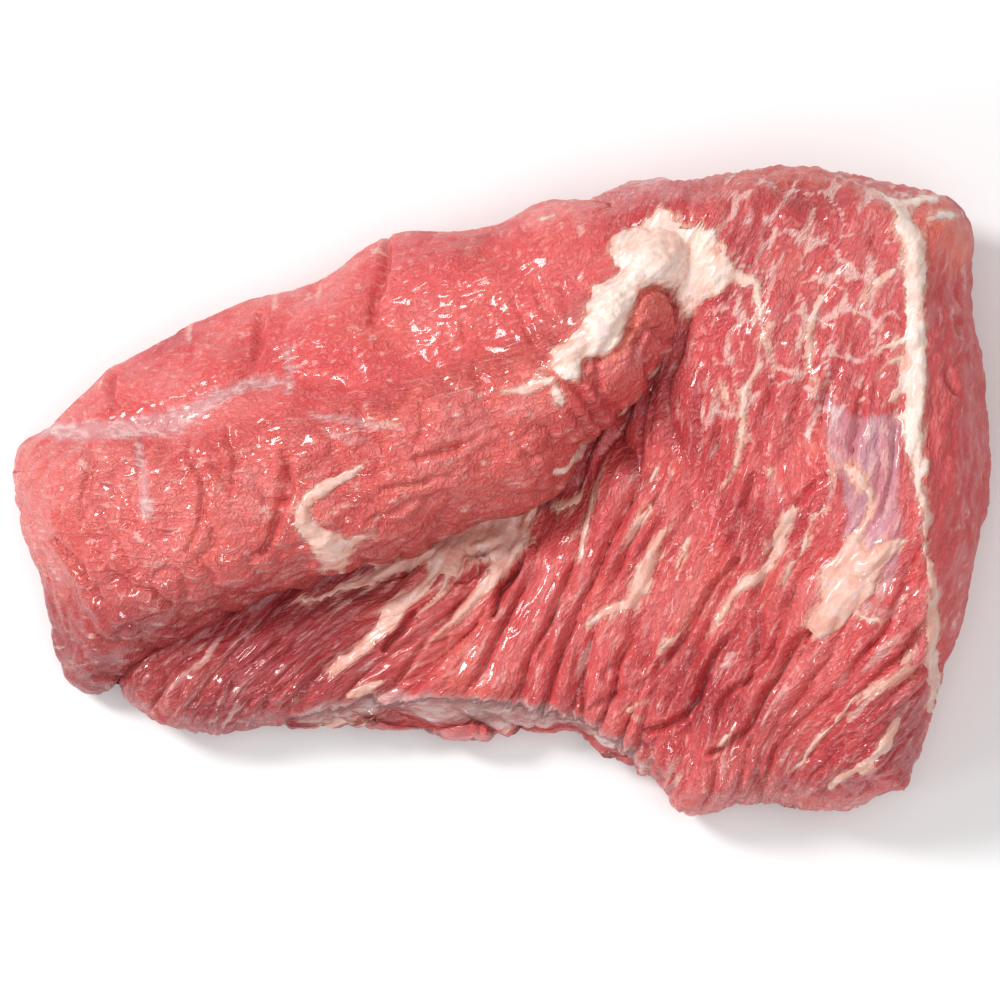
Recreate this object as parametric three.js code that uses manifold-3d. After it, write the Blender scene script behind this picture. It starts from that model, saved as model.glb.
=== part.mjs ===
// A raw tri-tip roast, lying with its fat-trimmed side up: one thick, uneven piece of beef.
// The main mass is coarse grained. It is about 28 mm thick at its left end and doubles towards the right,
// where a nearly upright cut face ends it. A flap of the same muscle is folded back over its left half.
// The flap has a cut slab at the back, a rolled front and an overhanging lip along a deep fold.
// The two masses grow together at the right end of the fold, so the roast is one solid.
//
// Millimetres, +Z up. The origin is the middle of the roast's length and width, at the surface that it
// lies on. +X runs along the length to the thick end, and +Y to the back.

import * as THREE from "three";
import { mergeVertices } from "three/addons/utils/BufferGeometryUtils.js";
import Module from "manifold-3d";

const { clamp, degToRad, lerp, smoothstep } = THREE.MathUtils;

// ---- Driving dimensions ----

const LENGTH = 252.4;
const WIDTH = 165.6;
const LEFT = -LENGTH / 2;
const RIGHT = LENGTH / 2;
const BACK = WIDTH / 2;
const FRONT = -WIDTH / 2;

// Thickness of the main mass: it rises from its thin left end to the thick end along RISE_ANGLE.
const THIN = 27;
const THICK = 57;
const RISE_ANGLE = degToRad(35);
const RISE_FROM = -15;
const RISE_TO = 88;

// The coarse muscle bundles run from the back down to the left: LEAN millimetres sideways for each
// millimetre of width in the middle, more towards the front and at the thin end.
const LEAN = 0.46;
const LEAN_CURVE = 0.0026;
const THIN_END_LEAN = 0.5;
const BUNDLE_WIDTH = 13;
const BUNDLE_RELIEF = 1.7;

// Roundness of the edges, and how high the widest point of a wall lies as a share of its thickness.
const MAIN = { roundTop: 14, roundThickEnd: 20, roundUnder: 12, rimShare: 0.36 };
const FLAP = { roundTop: 19, roundUnder: 8, rimShare: 0.42, lipShare: 0.6 };
const LAP = 3.5; // how deep the flap's underside sinks into the main mass
const FLAP_CLEARANCE = 0.8; // between the flap's underside and the surface that the roast lies on

// Along the flap's crest, from the thin end to the thick end: where it is, how high,
// and how steeply the cut slab falls away behind it.
const CREST = [
  [-119, 4, 37, 0.4],
  [-100, 3, 47, 0.4],
  [-77, 3, 53, 0.4],
  [-26, 14, 58, 0.35],
  [15, 30, 60, 0.22],
  [38, 48, 58.5, 0.12],
  [52, 62, 55, 0.1],
];
const ROLL_FALL = 0.0085; // how fast the roll curves down in front of it, for each square millimetre

// ---- Outlines, seen from above, each from its left tip to its right tip ----

const MAIN_TIPS = [[-80, -24], [104.5, -78]];
const MAIN_FRONT = [
  MAIN_TIPS[0],
  [-97, -42],
  [-99, -52],
  [-90, -59.5],
  [-70, -62],
  [-49, -60.8],
  [-26, -61.3],
  [-10, -64.6],
  [5, -62.1],
  [17, -62.1],
  [25, -66.2],
  [40.5, -75.9],
  [50, FRONT],
  [67, -80.8],
  [90, -82],
  MAIN_TIPS[1],
];
const MAIN_BACK = [
  MAIN_TIPS[0],
  [-106, -20],
  [-108, 2],
  [-84, 28],
  [-56, 39],
  [-30, 53],
  [-6, 58],
  [12, 68],
  [22, 75],
  [36, 79],
  [51, 80],
  [66.5, BACK],
  [90, 81.8],
  [105, 77],
  [114, 74.3],
  [120.5, 68],
  [122, 48],
  [RIGHT, 20],
  [124.5, -6],
  [120, -31],
  [114, -47],
  [109, -66],
  MAIN_TIPS[1],
];

const FLAP_TIPS = [[LEFT, 2], [56, 60]];
const FLAP_SIDE = [
  FLAP_TIPS[0],
  [-123.5, -10],
  [-118.4, -25.5],
  [-115.6, -41],
  [-112.5, -49],
];
const FOLD = [
  [-106, -52.5],
  [-94, -47.5],
  [-77, -37],
  [-56, -27],
  [-36, -21.5],
  [-6, -10],
  [8, -5.5],
  [16, 1],
  [24, 13],
  [38.5, 25],
  [45, 37],
  [48, 48],
];
const FLAP_BACK = [
  FLAP_TIPS[0],
  [-124, 10],
  [-118, 14.5],
  [-110, 23],
  [-102.5, 30.3],
  [-87, 39.3],
  [-72, 45.7],
  [-56, 50.8],
  [-41, 58.8],
  [-33, 63.6],
  [-22, 66.4],
  [-3, 68.2],
  [12.5, 74.4],
  [24, 75.5],
  [38, 72],
  [50, 67],
  FLAP_TIPS[1],
];

// ---- Raised and sunk strokes: where each runs, how wide it is, and how high or deep ----

const FLAP_STROKES = [
  { along: [[-120, 14], [-82, 16], [-55, 27], [-40, 25]], width: 5, height: -3 }, // valley behind the roll
  { along: [[-29, 62], [-31, 51], [-32, 41]], width: 3.5, height: -1.8 }, // crease across the slab
  { along: [[-56, -2], [-59, -17]], width: 4, height: -1.5 }, // wrinkle across the roll
  { along: [[15, 27], [24, 38], [36, 50], [42, 66]], width: 6.5, height: 2.4 }, // seam fat
  { along: [[42, 54], [54, 56], [60, 49]], width: 5, height: 2 }, // its branch to the thick end
  { along: [[18, 16], [30, 28], [43, 44]], width: 6.5, height: 3.4 }, // rolled edge in front of the fat
  { along: [[-36, 2], [-48, -7], [-43, -18]], width: 3.5, height: 1.6 }, // scrap of fat
];
const MAIN_STROKES = [
  { along: [[98, 69], [106, 56], [106, 25], [105, 0], [108, -28], [109, -50]], width: 2.8, height: 1.6 }, // rim
  { along: [[100, -15], [88, -28], [80, -38]], width: 5.5, height: 1.8 }, // fat patch
  { along: [[4, -18], [-2, -34]], width: 3.2, height: -3.6 }, // from here slits between bundles
  { along: [[-24, -31], [-40, -45]], width: 2.6, height: -3 },
  { along: [[60, -41], [54, -50], [50, -60]], width: 3, height: -4 },
  { along: [[78, -36], [68, -46]], width: 3, height: -3.5 },
  { along: [[80, 1], [72, -12], [68, -22]], width: 2.8, height: -2.2 },
];
const FOLD_TROUGH = { width: 9, depths: [1, 3, 6, 9, 11, 3] }; // from the thin end to the thick end

// ---- Helpers ----

// A smooth curve through points of a plan, as vectors with z = 0.
const curveThrough = (points) =>
  new THREE.CatmullRomCurve3(points.map(([x, y]) => new THREE.Vector3(x, y, 0)), false, "centripetal");

const segment = new THREE.Line3();
const nearest = new THREE.Vector3();

// How far a plan point lies from a polyline, and how far along it the nearest point is, from 0 to 1.
function nearestOn(line, point) {
  let best = Infinity;
  let share = 0;
  for (let i = 0; i + 1 < line.length; i++) {
    segment.set(line[i], line[i + 1]);
    const t = segment.closestPointToPointParameter(point, true);
    const gap = segment.at(t, nearest).distanceTo(point);
    if (gap < best) {
      best = gap;
      share = (i + t) / (line.length - 1);
    }
  }
  return { gap: best, share };
}

// A value read from a list that is spread evenly over 0 to 1.
function readAlong(values, share) {
  const at = clamp(share, 0, 1) * (values.length - 1);
  const i = Math.min(Math.floor(at), values.length - 2);
  return lerp(values[i], values[i + 1], smoothstep(at - i, 0, 1));
}

// A bell of height 1 that fades out at about twice the width.
const bell = (gap, width) => Math.exp(-((gap / width) ** 2));

// A quarter circle: 0 at the edge, 1 from `round` inwards.
const quarterRound = (gap, round) => Math.sqrt(1 - (1 - clamp(gap / round, 0, 1)) ** 2);

const STROKE_STEPS = 24;
const drawn = (strokes) =>
  strokes.map(({ along, ...rest }) => ({ line: curveThrough(along).getSpacedPoints(STROKE_STEPS), ...rest }));

const reliefOf = (strokes, point) =>
  strokes.reduce((sum, { line, width, height }) => sum + height * bell(nearestOn(line, point).gap, width), 0);

// ---- Grain of the main mass ----

// The fibres are the lines on which this stays the same. It counts millimetres along X.
function acrossGrain(x, y) {
  const atThinEnd = smoothstep(LEAN * y - x, 0, 40);
  return x - y * (LEAN + THIN_END_LEAN * atThinEnd - LEAN_CURVE * y);
}

// Bundles of uneven width: long ridges along the grain, with narrow valleys between them.
function bundles(x, y) {
  const across = acrossGrain(x, y);
  const drift = 3 * Math.sin(across / 13 + y / 27) + 1.5 * Math.sin(y / 12 - across / 23);
  const phase = ((across + drift) / BUNDLE_WIDTH) * Math.PI;
  return BUNDLE_RELIEF * (2 * Math.sqrt(Math.abs(Math.sin(phase))) - 1.4);
}

// ---- The two masses ----

const OUTLINE_STEPS = 160;
const edgeOf = (curve) => curve.getSpacedPoints(OUTLINE_STEPS);
const fold = edgeOf(curveThrough(FOLD));
const crest = CREST.map(([x, y]) => new THREE.Vector3(x, y, 0));
const crestHeights = CREST.map(([, , height]) => height);
const slabSlopes = CREST.map(([, , , slope]) => slope);
const mainStrokes = drawn(MAIN_STROKES);
const flapStrokes = drawn(FLAP_STROKES);

function mainTop(point) {
  const along = point.x * Math.cos(RISE_ANGLE) + point.y * Math.sin(RISE_ANGLE);
  const plain = lerp(THIN, THICK, smoothstep(along, RISE_FROM, RISE_TO));
  const { gap, share } = nearestOn(fold, point);
  const trough = readAlong(FOLD_TROUGH.depths, share) * bell(gap, FOLD_TROUGH.width);
  const coarse = 1 - smoothstep(point.y, 15, 45) * smoothstep(point.x, 50, 65);
  return plain - trough + coarse * bundles(point.x, point.y) + reliefOf(mainStrokes, point);
}

function flapTop(point) {
  const { gap, share } = nearestOn(crest, point);
  const i = Math.min(Math.floor(share * (crest.length - 1)), crest.length - 2);
  const run = crest[i + 1].clone().sub(crest[i]);
  const isBehind = run.cross(point.clone().sub(crest[i])).z > 0;
  const slope = readAlong(slabSlopes, share) * smoothstep(gap, -6, 14);
  const fall = isBehind ? slope * gap : ROLL_FALL * gap ** 2;
  return readAlong(crestHeights, share) - fall + reliefOf(flapStrokes, point);
}

// How much the flap lies on the main mass: fully along the fold, not at the thin end.
const onMain = (point, far, near) =>
  smoothstep(point.x, -92, -60) * (1 - smoothstep(nearestOn(fold, point).gap, near, far));

const mainShape = {
  front: curveThrough(MAIN_FRONT),
  back: curveThrough(MAIN_BACK),
  top: mainTop,
  under: () => 0,
  rim: (point) => MAIN.rimShare * mainTop(point),
  roundTop: (point) => lerp(MAIN.roundTop, MAIN.roundThickEnd, smoothstep(point.x, 80, 105)),
  roundUnder: MAIN.roundUnder,
};

const flapShape = {
  front: curveThrough([...FLAP_SIDE, ...FOLD, FLAP_TIPS[1]]),
  back: curveThrough(FLAP_BACK),
  top: flapTop,
  under: (point) => lerp(FLAP_CLEARANCE, mainTop(point) - LAP, onMain(point, 26, 12)),
  rim: (point) => flapTop(point) * lerp(FLAP.rimShare, FLAP.lipShare, onMain(point, 25, 5)),
  roundTop: () => FLAP.roundTop,
  roundUnder: FLAP.roundUnder,
};

// Steps from 0 to 1 that are shorter near both ends, where the edges are round.
const closeEnds = (i, steps, evenness) => lerp(smoothstep(i / steps, 0, 1), i / steps, evenness);
const OVER = 0.5; // evenness over the top
const UNDER = 0; // and underneath, where the middle is flat

// A closed body between a front and a back edge: rings across it, each over the top and back underneath,
// and one point at each tip.
function bodyOf(shape, { rings, topSteps, underSteps }) {
  const frontEdge = edgeOf(shape.front);
  const backEdge = edgeOf(shape.back);
  const gapTo = (point) => Math.min(nearestOn(frontEdge, point).gap, nearestOn(backEdge, point).gap);
  const topPoint = (point) =>
    point.clone().setZ(lerp(shape.rim(point), shape.top(point), quarterRound(gapTo(point), shape.roundTop(point))));
  const underPoint = (point) =>
    point.clone().setZ(lerp(shape.rim(point), shape.under(point), quarterRound(gapTo(point), shape.roundUnder)));

  const vertices = [];
  const ringSize = topSteps + underSteps;
  for (let i = 1; i < rings; i++) {
    const along = closeEnds(i, rings, OVER);
    const front = shape.front.getPointAt(along);
    const back = shape.back.getPointAt(along);
    for (let j = 0; j < topSteps; j++)
      vertices.push(topPoint(front.clone().lerp(back, closeEnds(j, topSteps, OVER))));
    for (let j = 0; j < underSteps; j++)
      vertices.push(underPoint(back.clone().lerp(front, closeEnds(j, underSteps, UNDER))));
  }
  const index = [];
  for (let i = 0; i + 2 < rings; i++)
    for (let j = 0; j < ringSize; j++) {
      const next = (j + 1) % ringSize;
      const [a, b] = [i * ringSize + j, i * ringSize + next];
      const [c, d] = [a + ringSize, b + ringSize];
      index.push(a, c, b, b, c, d);
    }
  const tips = [shape.front.getPointAt(0), shape.front.getPointAt(1)];
  tips.forEach((tip, end) => {
    vertices.push(tip.setZ(shape.rim(tip)));
    const first = end ? (rings - 2) * ringSize : 0;
    for (let j = 0; j < ringSize; j++) {
      const pair = [first + j, first + ((j + 1) % ringSize)];
      index.push(vertices.length - 1, ...(end ? pair.reverse() : pair));
    }
  });
  return new THREE.BufferGeometry().setFromPoints(vertices).setIndex(index);
}

// ---- Joined with manifold-3d ----

const wasm = await Module();
wasm.setup();

function solidOf(geometry) {
  const merged = mergeVertices(geometry, 1e-4);
  return new wasm.Manifold(
    new wasm.Mesh({
      numProp: 3,
      vertProperties: merged.attributes.position.array,
      triVerts: new Uint32Array(merged.index.array),
    }),
  );
}

// Where the two masses cross, slivers are left: their corners are merged and the slivers dropped.
const SLIVER = 0.02;

function geometryOf(solid) {
  const { vertProperties, triVerts } = solid.getMesh();
  const raw = new THREE.BufferGeometry();
  raw.setAttribute("position", new THREE.BufferAttribute(vertProperties, 3));
  raw.setIndex(new THREE.BufferAttribute(triVerts, 1));
  const geometry = mergeVertices(raw, SLIVER);
  const kept = [];
  for (let i = 0; i < geometry.index.count; i += 3) {
    const corners = [0, 1, 2].map((j) => geometry.index.getX(i + j));
    if (new Set(corners).size === 3) kept.push(...corners);
  }
  geometry.setIndex(kept);
  geometry.computeVertexNormals();
  return geometry;
}

const mainMass = solidOf(bodyOf(mainShape, { rings: 76, topSteps: 38, underSteps: 11 }));
const flap = solidOf(bodyOf(flapShape, { rings: 52, topSteps: 25, underSteps: 11 }));

// ---- The part ----

const beef = new THREE.MeshStandardMaterial({ color: 0xc8504e, roughness: 0.38, metalness: 0 });

const whole = geometryOf(mainMass.add(flap)).center();
whole.translate(0, 0, -whole.boundingBox.min.z);

const roast = new THREE.Mesh(whole, beef);
roast.name = "roast";

const part = new THREE.Group();
part.add(roast);

export default part;
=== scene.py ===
# %% [markdown]
# # A raw tri-tip roast
#
# This lesson builds the looks of one raw beef roast in Blender 4.5, in metres, over a finished solid of
# its real size. The roast is one piece of meat, but its surface is not one thing: a coarse fan of muscle
# bundles on the right, a smoother flap folded over the left half, seams of cream fat, and grey membrane.
#
# It could be sculpted by hand, or simulated as soft cloth. Here every form is worked out from a few named
# curves and sizes, so a reader can change one number and see what it does.

# %% The frame
import bpy
import math
import numpy as np
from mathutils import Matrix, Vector


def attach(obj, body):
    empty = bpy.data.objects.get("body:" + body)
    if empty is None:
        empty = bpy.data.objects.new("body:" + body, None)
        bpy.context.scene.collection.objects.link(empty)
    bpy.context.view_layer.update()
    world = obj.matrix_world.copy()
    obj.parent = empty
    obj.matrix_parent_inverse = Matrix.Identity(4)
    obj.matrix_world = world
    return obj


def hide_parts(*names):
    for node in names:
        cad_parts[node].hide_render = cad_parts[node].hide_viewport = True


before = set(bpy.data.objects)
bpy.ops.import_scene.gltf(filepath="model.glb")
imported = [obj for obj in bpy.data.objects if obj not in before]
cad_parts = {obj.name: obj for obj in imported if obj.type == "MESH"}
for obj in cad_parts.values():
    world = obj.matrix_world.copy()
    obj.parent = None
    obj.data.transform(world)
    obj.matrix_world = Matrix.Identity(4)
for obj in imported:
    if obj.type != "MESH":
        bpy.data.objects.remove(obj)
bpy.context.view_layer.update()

# %% [markdown]
# ## Small tools
#
# Everything below is measured in millimetres, seen from above, because that is how a roast is looked at:
# where something lies on it, how far it is from an edge, and how high it stands. Three helpers do most of
# the work: a smooth curve through a few points, the nearest place on a curve, and the depth inside a patch.

# %% Steps and blends
MM = 0.001
FAR = 9.0  # millimetres; a depth beyond this makes no difference
STROKE_REACH = 8  # millimetres; how far outside a stroke its depth is still worked out


def ease(value, start, end):
    """0 before start, 1 after end, with a soft step between."""
    t = np.clip((value - start) / (end - start), 0, 1)
    return t * t * (3 - 2 * t)


def blend(a, b, share):
    return a + (b - a) * share


def bell(gap, width):
    return np.exp(-((gap / width) ** 2))


print("half way from 2 to 6:", blend(2, 6, ease(5, 0, 10)))

# %% Curves and distances


def curve(points, steps):
    """Evenly spaced rows on a smooth curve through a few rows; columns after x and y come along."""
    rows = np.array(points, float)
    rows = np.vstack([2 * rows[0] - rows[1], rows, 2 * rows[-1] - rows[-2]])
    t = np.linspace(0, 1, 24)[:, None]
    pieces = []
    for a, b, c, d in zip(rows, rows[1:], rows[2:], rows[3:]):
        ab, bc, cd = (np.linalg.norm((q - p)[:2]) ** 0.5 for p, q in ((a, b), (b, c), (c, d)))
        leave = ((b - a) / ab - (c - a) / (ab + bc) + (c - b) / bc) * bc
        arrive = ((c - b) / bc - (d - b) / (bc + cd) + (d - c) / cd) * bc
        pieces.append(
            (2 * t**3 - 3 * t**2 + 1) * b
            + (t**3 - 2 * t**2 + t) * leave
            + (3 * t**2 - 2 * t**3) * c
            + (t**3 - t**2) * arrive
        )
    fine = np.vstack(pieces)
    run = np.concatenate([[0], np.cumsum(np.hypot(*np.diff(fine[:, :2], axis=0).T))])
    stops = np.linspace(0, run[-1], steps + 1)
    return np.column_stack([np.interp(stops, run, column) for column in fine.T])


def nearest(line, xy):
    """For each place: how far the line is, at what share of its length, and on which side it lies."""
    gap = np.full(len(xy), np.inf)
    share = np.zeros(len(xy))
    side = np.ones(len(xy))
    for i, (a, b) in enumerate(zip(line[:-1, :2], line[1:, :2])):
        step = b - a
        away = xy - a
        t = np.clip(away @ step / (step @ step), 0, 1)
        distance = np.hypot(away[:, 0] - t * step[0], away[:, 1] - t * step[1])
        closer = distance < gap
        gap[closer] = distance[closer]
        share[closer] = (i + t[closer]) / (len(line) - 1)
        side[closer] = np.sign(step[0] * away[closer, 1] - step[1] * away[closer, 0])
    return gap, share, side


def read(line, share, column):
    """The value of one column of a curve at a share of its length."""
    return np.interp(share, np.linspace(0, 1, len(line)), line[:, column])


def inside(outline, xy):
    """Whether each place lies inside a closed outline."""
    odd = np.zeros(len(xy), bool)
    for (ax, ay), (bx, by) in zip(outline[:, :2], np.roll(outline[:, :2], -1, axis=0)):
        spans = (ay > xy[:, 1]) != (by > xy[:, 1])
        odd ^= spans & (xy[:, 0] < ax + (bx - ax) * (xy[:, 1] - ay) / (by - ay + 1e-12))
    return odd


def patch_depth(outline, xy):
    """Depth inside a patch with a smooth closed outline, in millimetres; negative outside."""
    closed = curve(list(outline) + [outline[0]], 6 * len(outline))
    return nearest(closed, xy)[0] * np.where(inside(closed, xy), 1, -1)


def stroke_depth(points, xy):
    """Depth inside a brush stroke through rows of x, y and half width; negative outside."""
    line = curve(points, 5 * len(points))
    depth = np.full(len(xy), -FAR)
    reach = STROKE_REACH + line[:, 2].max()
    near = np.all((xy > line[:, :2].min(0) - reach) & (xy < line[:, :2].max(0) + reach), axis=1)
    gap, share, _ = nearest(line, xy[near])
    depth[near] = read(line, share, 2) - gap
    return depth


print("a curve through three points:", curve([(0, 0), (10, 5), (20, 0)], 4).round(1).tolist())

# %% [markdown]
# ## Repeatable noise
#
# Meat is never even. Blender has noise textures for colour, but the form itself has to be real mesh, so
# the same two kinds of noise are made here with numpy: soft lumps, and long cells for muscle bundles.
# Both come from a hash of whole numbers, so each run gives the same roast.

# %% Lumps and cells


def hashed(*whole, seed=0):
    """A number from 0 to 1 for each set of whole numbers."""
    mixed = np.full(whole[0].shape, seed * 2654435761 % 2**32, np.uint64)
    for value, prime in zip(whole, (73856093, 19349663, 83492791)):
        mixed = (mixed ^ (value.astype(np.int64).astype(np.uint64) * np.uint64(prime))) & np.uint64(0xFFFFFFFF)
        mixed = (mixed * np.uint64(2246822519) + (mixed >> np.uint64(13))) & np.uint64(0xFFFFFFFF)
        mixed ^= mixed >> np.uint64(16)
    return mixed.astype(float) / 2**32


def lumps(a, b, c=0.0, octaves=1, seed=0):
    """Soft noise from -1 to 1 whose lumps are about one unit wide."""
    total = np.zeros(np.shape(a))
    weight = 1.0
    for octave in range(octaves):
        where = [
            np.asarray(value * 2**octave + 17.3 * octave, float) + np.zeros(np.shape(a)) for value in (a, b, c)
        ]
        low = [np.floor(value) for value in where]
        soft = [(value - floor) ** 2 * (3 - 2 * (value - floor)) for value, floor in zip(where, low)]
        corner_sum = 0
        for corner in range(8):
            bits = [corner >> axis & 1 for axis in range(3)]
            share = 1.0
            for bit, s in zip(bits, soft):
                share = share * (s if bit else 1 - s)
            corner_sum = corner_sum + share * hashed(*(f + bit for f, bit in zip(low, bits)), seed=seed + octave)
        total += weight * (2 * corner_sum - 1)
        weight *= 0.5
    return total


def cells(a, b, seed=0):
    """Cells about one unit wide: distance to the border with the next cell, and a number for each cell."""
    low_a, low_b = np.floor(a), np.floor(b)
    first = np.full(np.shape(a), 9.0)
    second = np.full(np.shape(a), 9.0)
    name = np.zeros(np.shape(a))
    for da in (-1, 0, 1):
        for db in (-1, 0, 1):
            ca, cb = low_a + da, low_b + db
            distance = np.hypot(
                ca + 0.15 + 0.7 * hashed(ca, cb, seed=seed) - a, cb + 0.15 + 0.7 * hashed(cb, ca, seed=seed + 5) - b
            )
            closer = distance < first
            second = np.where(closer, first, np.minimum(second, distance))
            name = np.where(closer, hashed(ca, cb, seed=seed + 9), name)
            first = np.where(closer, distance, first)
    return second - first, name


print("noise sample:", lumps(np.arange(4) * 0.4, np.zeros(4)).round(2).tolist())

# %% [markdown]
# ## Outlines
#
# Seen from above, two masses make the roast: the main mass, and the flap that is folded over its left
# half. Each has a front edge and a back edge that meet at a left and a right tip. The fold is the part of
# the flap's front edge that lies on the main mass. These are the sizes of the solid, so both agree.

# %% The two masses from above
MAIN_TIPS = [(-80, -24), (104.5, -78)]
MAIN_FRONT = [
    MAIN_TIPS[0], (-97, -42), (-99, -52), (-90, -59.5), (-70, -62), (-49, -60.8), (-26, -61.3), (-10, -64.6),
    (5, -62.1), (17, -62.1), (25, -66.2), (40.5, -75.9), (50, -82.8), (67, -80.8), (90, -82), MAIN_TIPS[1],
]
MAIN_BACK = [
    MAIN_TIPS[0], (-106, -20), (-108, 2), (-84, 28), (-56, 39), (-30, 53), (-6, 58), (12, 68), (22, 75),
    (36, 79), (51, 80), (66.5, 82.8), (90, 81.8), (105, 77), (114, 74.3), (120.5, 68), (122, 48),
    (126.2, 20), (124.5, -6), (120, -31), (114, -47), (109, -66), MAIN_TIPS[1],
]
FLAP_TIPS = [(-126.2, 2), (56, 60)]
FLAP_SIDE = [FLAP_TIPS[0], (-123.5, -10), (-118.4, -25.5), (-115.6, -41), (-112.5, -49)]
FOLD = [
    (-106, -52.5), (-94, -47.5), (-77, -37), (-56, -27), (-36, -21.5), (-6, -10), (8, -5.5), (16, 1),
    (24, 13), (38.5, 25), (45, 37), (48, 48),
]
FLAP_BACK = [
    FLAP_TIPS[0], (-124, 10), (-118, 14.5), (-110, 23), (-102.5, 30.3), (-87, 39.3), (-72, 45.7),
    (-56, 50.8), (-41, 58.8), (-33, 63.6), (-22, 66.4), (-3, 68.2), (12.5, 74.4), (24, 75.5), (38, 72),
    (50, 67), FLAP_TIPS[1],
]

fold = curve(FOLD, 120)
print("length of the fold:", round(float(np.hypot(*np.diff(fold, axis=0).T).sum())), "mm")

# %% [markdown]
# ## Heights
#
# The main mass is thin at its left end and doubles towards the right. The flap has a crest: behind it the
# cut slab falls away gently, and in front of it the roll curves down to the fold. Along the fold the main
# mass sinks into a trough, so that the flap's lip really hangs over it and keeps it dark.

# %% How thick the main mass is
THIN, THICK = 27, 57
RISE_ANGLE, RISE_START, RISE_END = math.radians(35), -15, 88  # which way it thickens, and from where to where
TROUGH = [(0, 0, 1), (1, 0, 3), (2, 0, 6), (3, 0, 9), (4, 0, 11), (5, 0, 3)]  # its last column is its depth
TROUGH_WIDTH = 9


def main_height(xy):
    along = xy @ (math.cos(RISE_ANGLE), math.sin(RISE_ANGLE))
    gap, share, _ = nearest(fold, xy)
    trough = read(np.array(TROUGH), share, 2) * bell(gap, TROUGH_WIDTH)
    return blend(THIN, THICK, ease(along, RISE_START, RISE_END)) - trough


# %% How high the flap is
CREST = [  # x, y, height, and the slope of the slab behind it
    (-119, 4, 37, 0.4), (-100, 3, 47, 0.4), (-77, 3, 53, 0.4), (-26, 14, 58, 0.35), (15, 30, 60, 0.22),
    (38, 48, 58.5, 0.12), (52, 62, 55, 0.1),
]
ROLL_FALL = 0.0085  # how fast the roll curves down in front of the crest
crest = curve(CREST, 60)


def flap_height(xy):
    gap, share, side = nearest(crest, xy)
    slab = read(crest, share, 3) * gap * ease(gap, -6, 14)
    return read(crest, share, 2) - np.where(side > 0, slab, ROLL_FALL * gap**2)


middle = np.array([(-60.0, -10.0), (80.0, 30.0)])
print("heights on the flap and on the thick end:", flap_height(middle)[0].round(), main_height(middle)[1].round())

# %% [markdown]
# ## The grain
#
# A tri-tip shows its coarse muscle bundles as a fan: steep in the middle, and leaning over towards the two
# lower corners. Painting that direction by hand on every point would take hours. Instead a few guiding
# fibres are laid down, each with its distance across the grain, and a thin-plate spline fills in the rest.
# Relief and colour then follow the same number: how far across the grain a place lies.

# %% Guiding fibres of the main mass
FIBRES = [  # millimetres across the grain, and places along the fibre
    (0, [(-25.7, -24.2), (-38.5, -33.7), (-50, -43.4)]),
    (13.7, [(-5.2, -25.5), (-25.7, -42.1), (-43.6, -56.7)]),
    (22.4, [(5, -17.8), (-1.4, -31.9), (-11.6, -48.5)]),
    (34.8, [(25.7, 1.2), (17.8, -19.1), (6.3, -48.3), (3.7, -60)]),
    (54, [(54.9, 41.1), (49.8, 18), (38.3, -19.1), (32.1, -35.2), (25.5, -53.6)]),
    (65.4, [(62.3, 16.8), (53.9, -11.1), (43.4, -36.5), (33.2, -63.9)]),
    (80.8, [(74.4, 10.4), (68.5, -17.8), (60, -33.2), (48.5, -63.9)]),
    (87, [(84.4, -2.4), (74.9, -19.1), (65.2, -38.3), (52.4, -76.7)]),
    (109.4, [(99.7, -28), (92, -40.8), (81.8, -53.6), (67.7, -79.2)]),
    (118, [(104.6, -43.6), (93.8, -53.6), (82.8, -63.1), (71.6, -79.2)]),
    (130, [(106.1, -53.6), (100.5, -62.6), (87.9, -73.6), (83.1, -80.5)]),
]

anchors = np.array([place for _, places in FIBRES for place in places]) / 100
levels = np.array([level for level, places in FIBRES for _ in places])


def thin_plate(a, b):
    square = ((a[:, None] - b[None]) ** 2).sum(-1)
    return 0.5 * square * np.log(square + 1e-12)


flat = np.column_stack([np.ones(len(anchors)), anchors])
SLACK = 0.002  # lets the spline pass a little beside the guiding fibres
spline = np.linalg.solve(
    np.block([[thin_plate(anchors, anchors) + SLACK * np.eye(len(anchors)), flat], [flat.T, np.zeros((3, 3))]]),
    np.concatenate([levels, np.zeros(3)]),
)


def across_grain(xy):
    """Millimetres across the grain of the main mass. A fibre is a line on which this stays the same."""
    hundredths = xy / 100
    plane = np.column_stack([np.ones(len(xy)), hundredths])
    return thin_plate(hundredths, anchors) @ spline[:-3] + plane @ spline[-3:]


sample = np.array([(-20.0, -40), (20, -20), (60, -20), (90, -50)])
print("across the grain, left to right:", across_grain(sample).round(1))

# %% [markdown]
# ## What lies on the meat
#
# A butcher's trim leaves fat, membrane and cuts where they happen to be, so these are placed one by one.
# A patch is a closed outline. A stroke is a line with a half width at each stop. A slit is a stroke that
# goes down into the meat. A swell is a broad low rise or dip. All of them are short, in millimetres.

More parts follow.
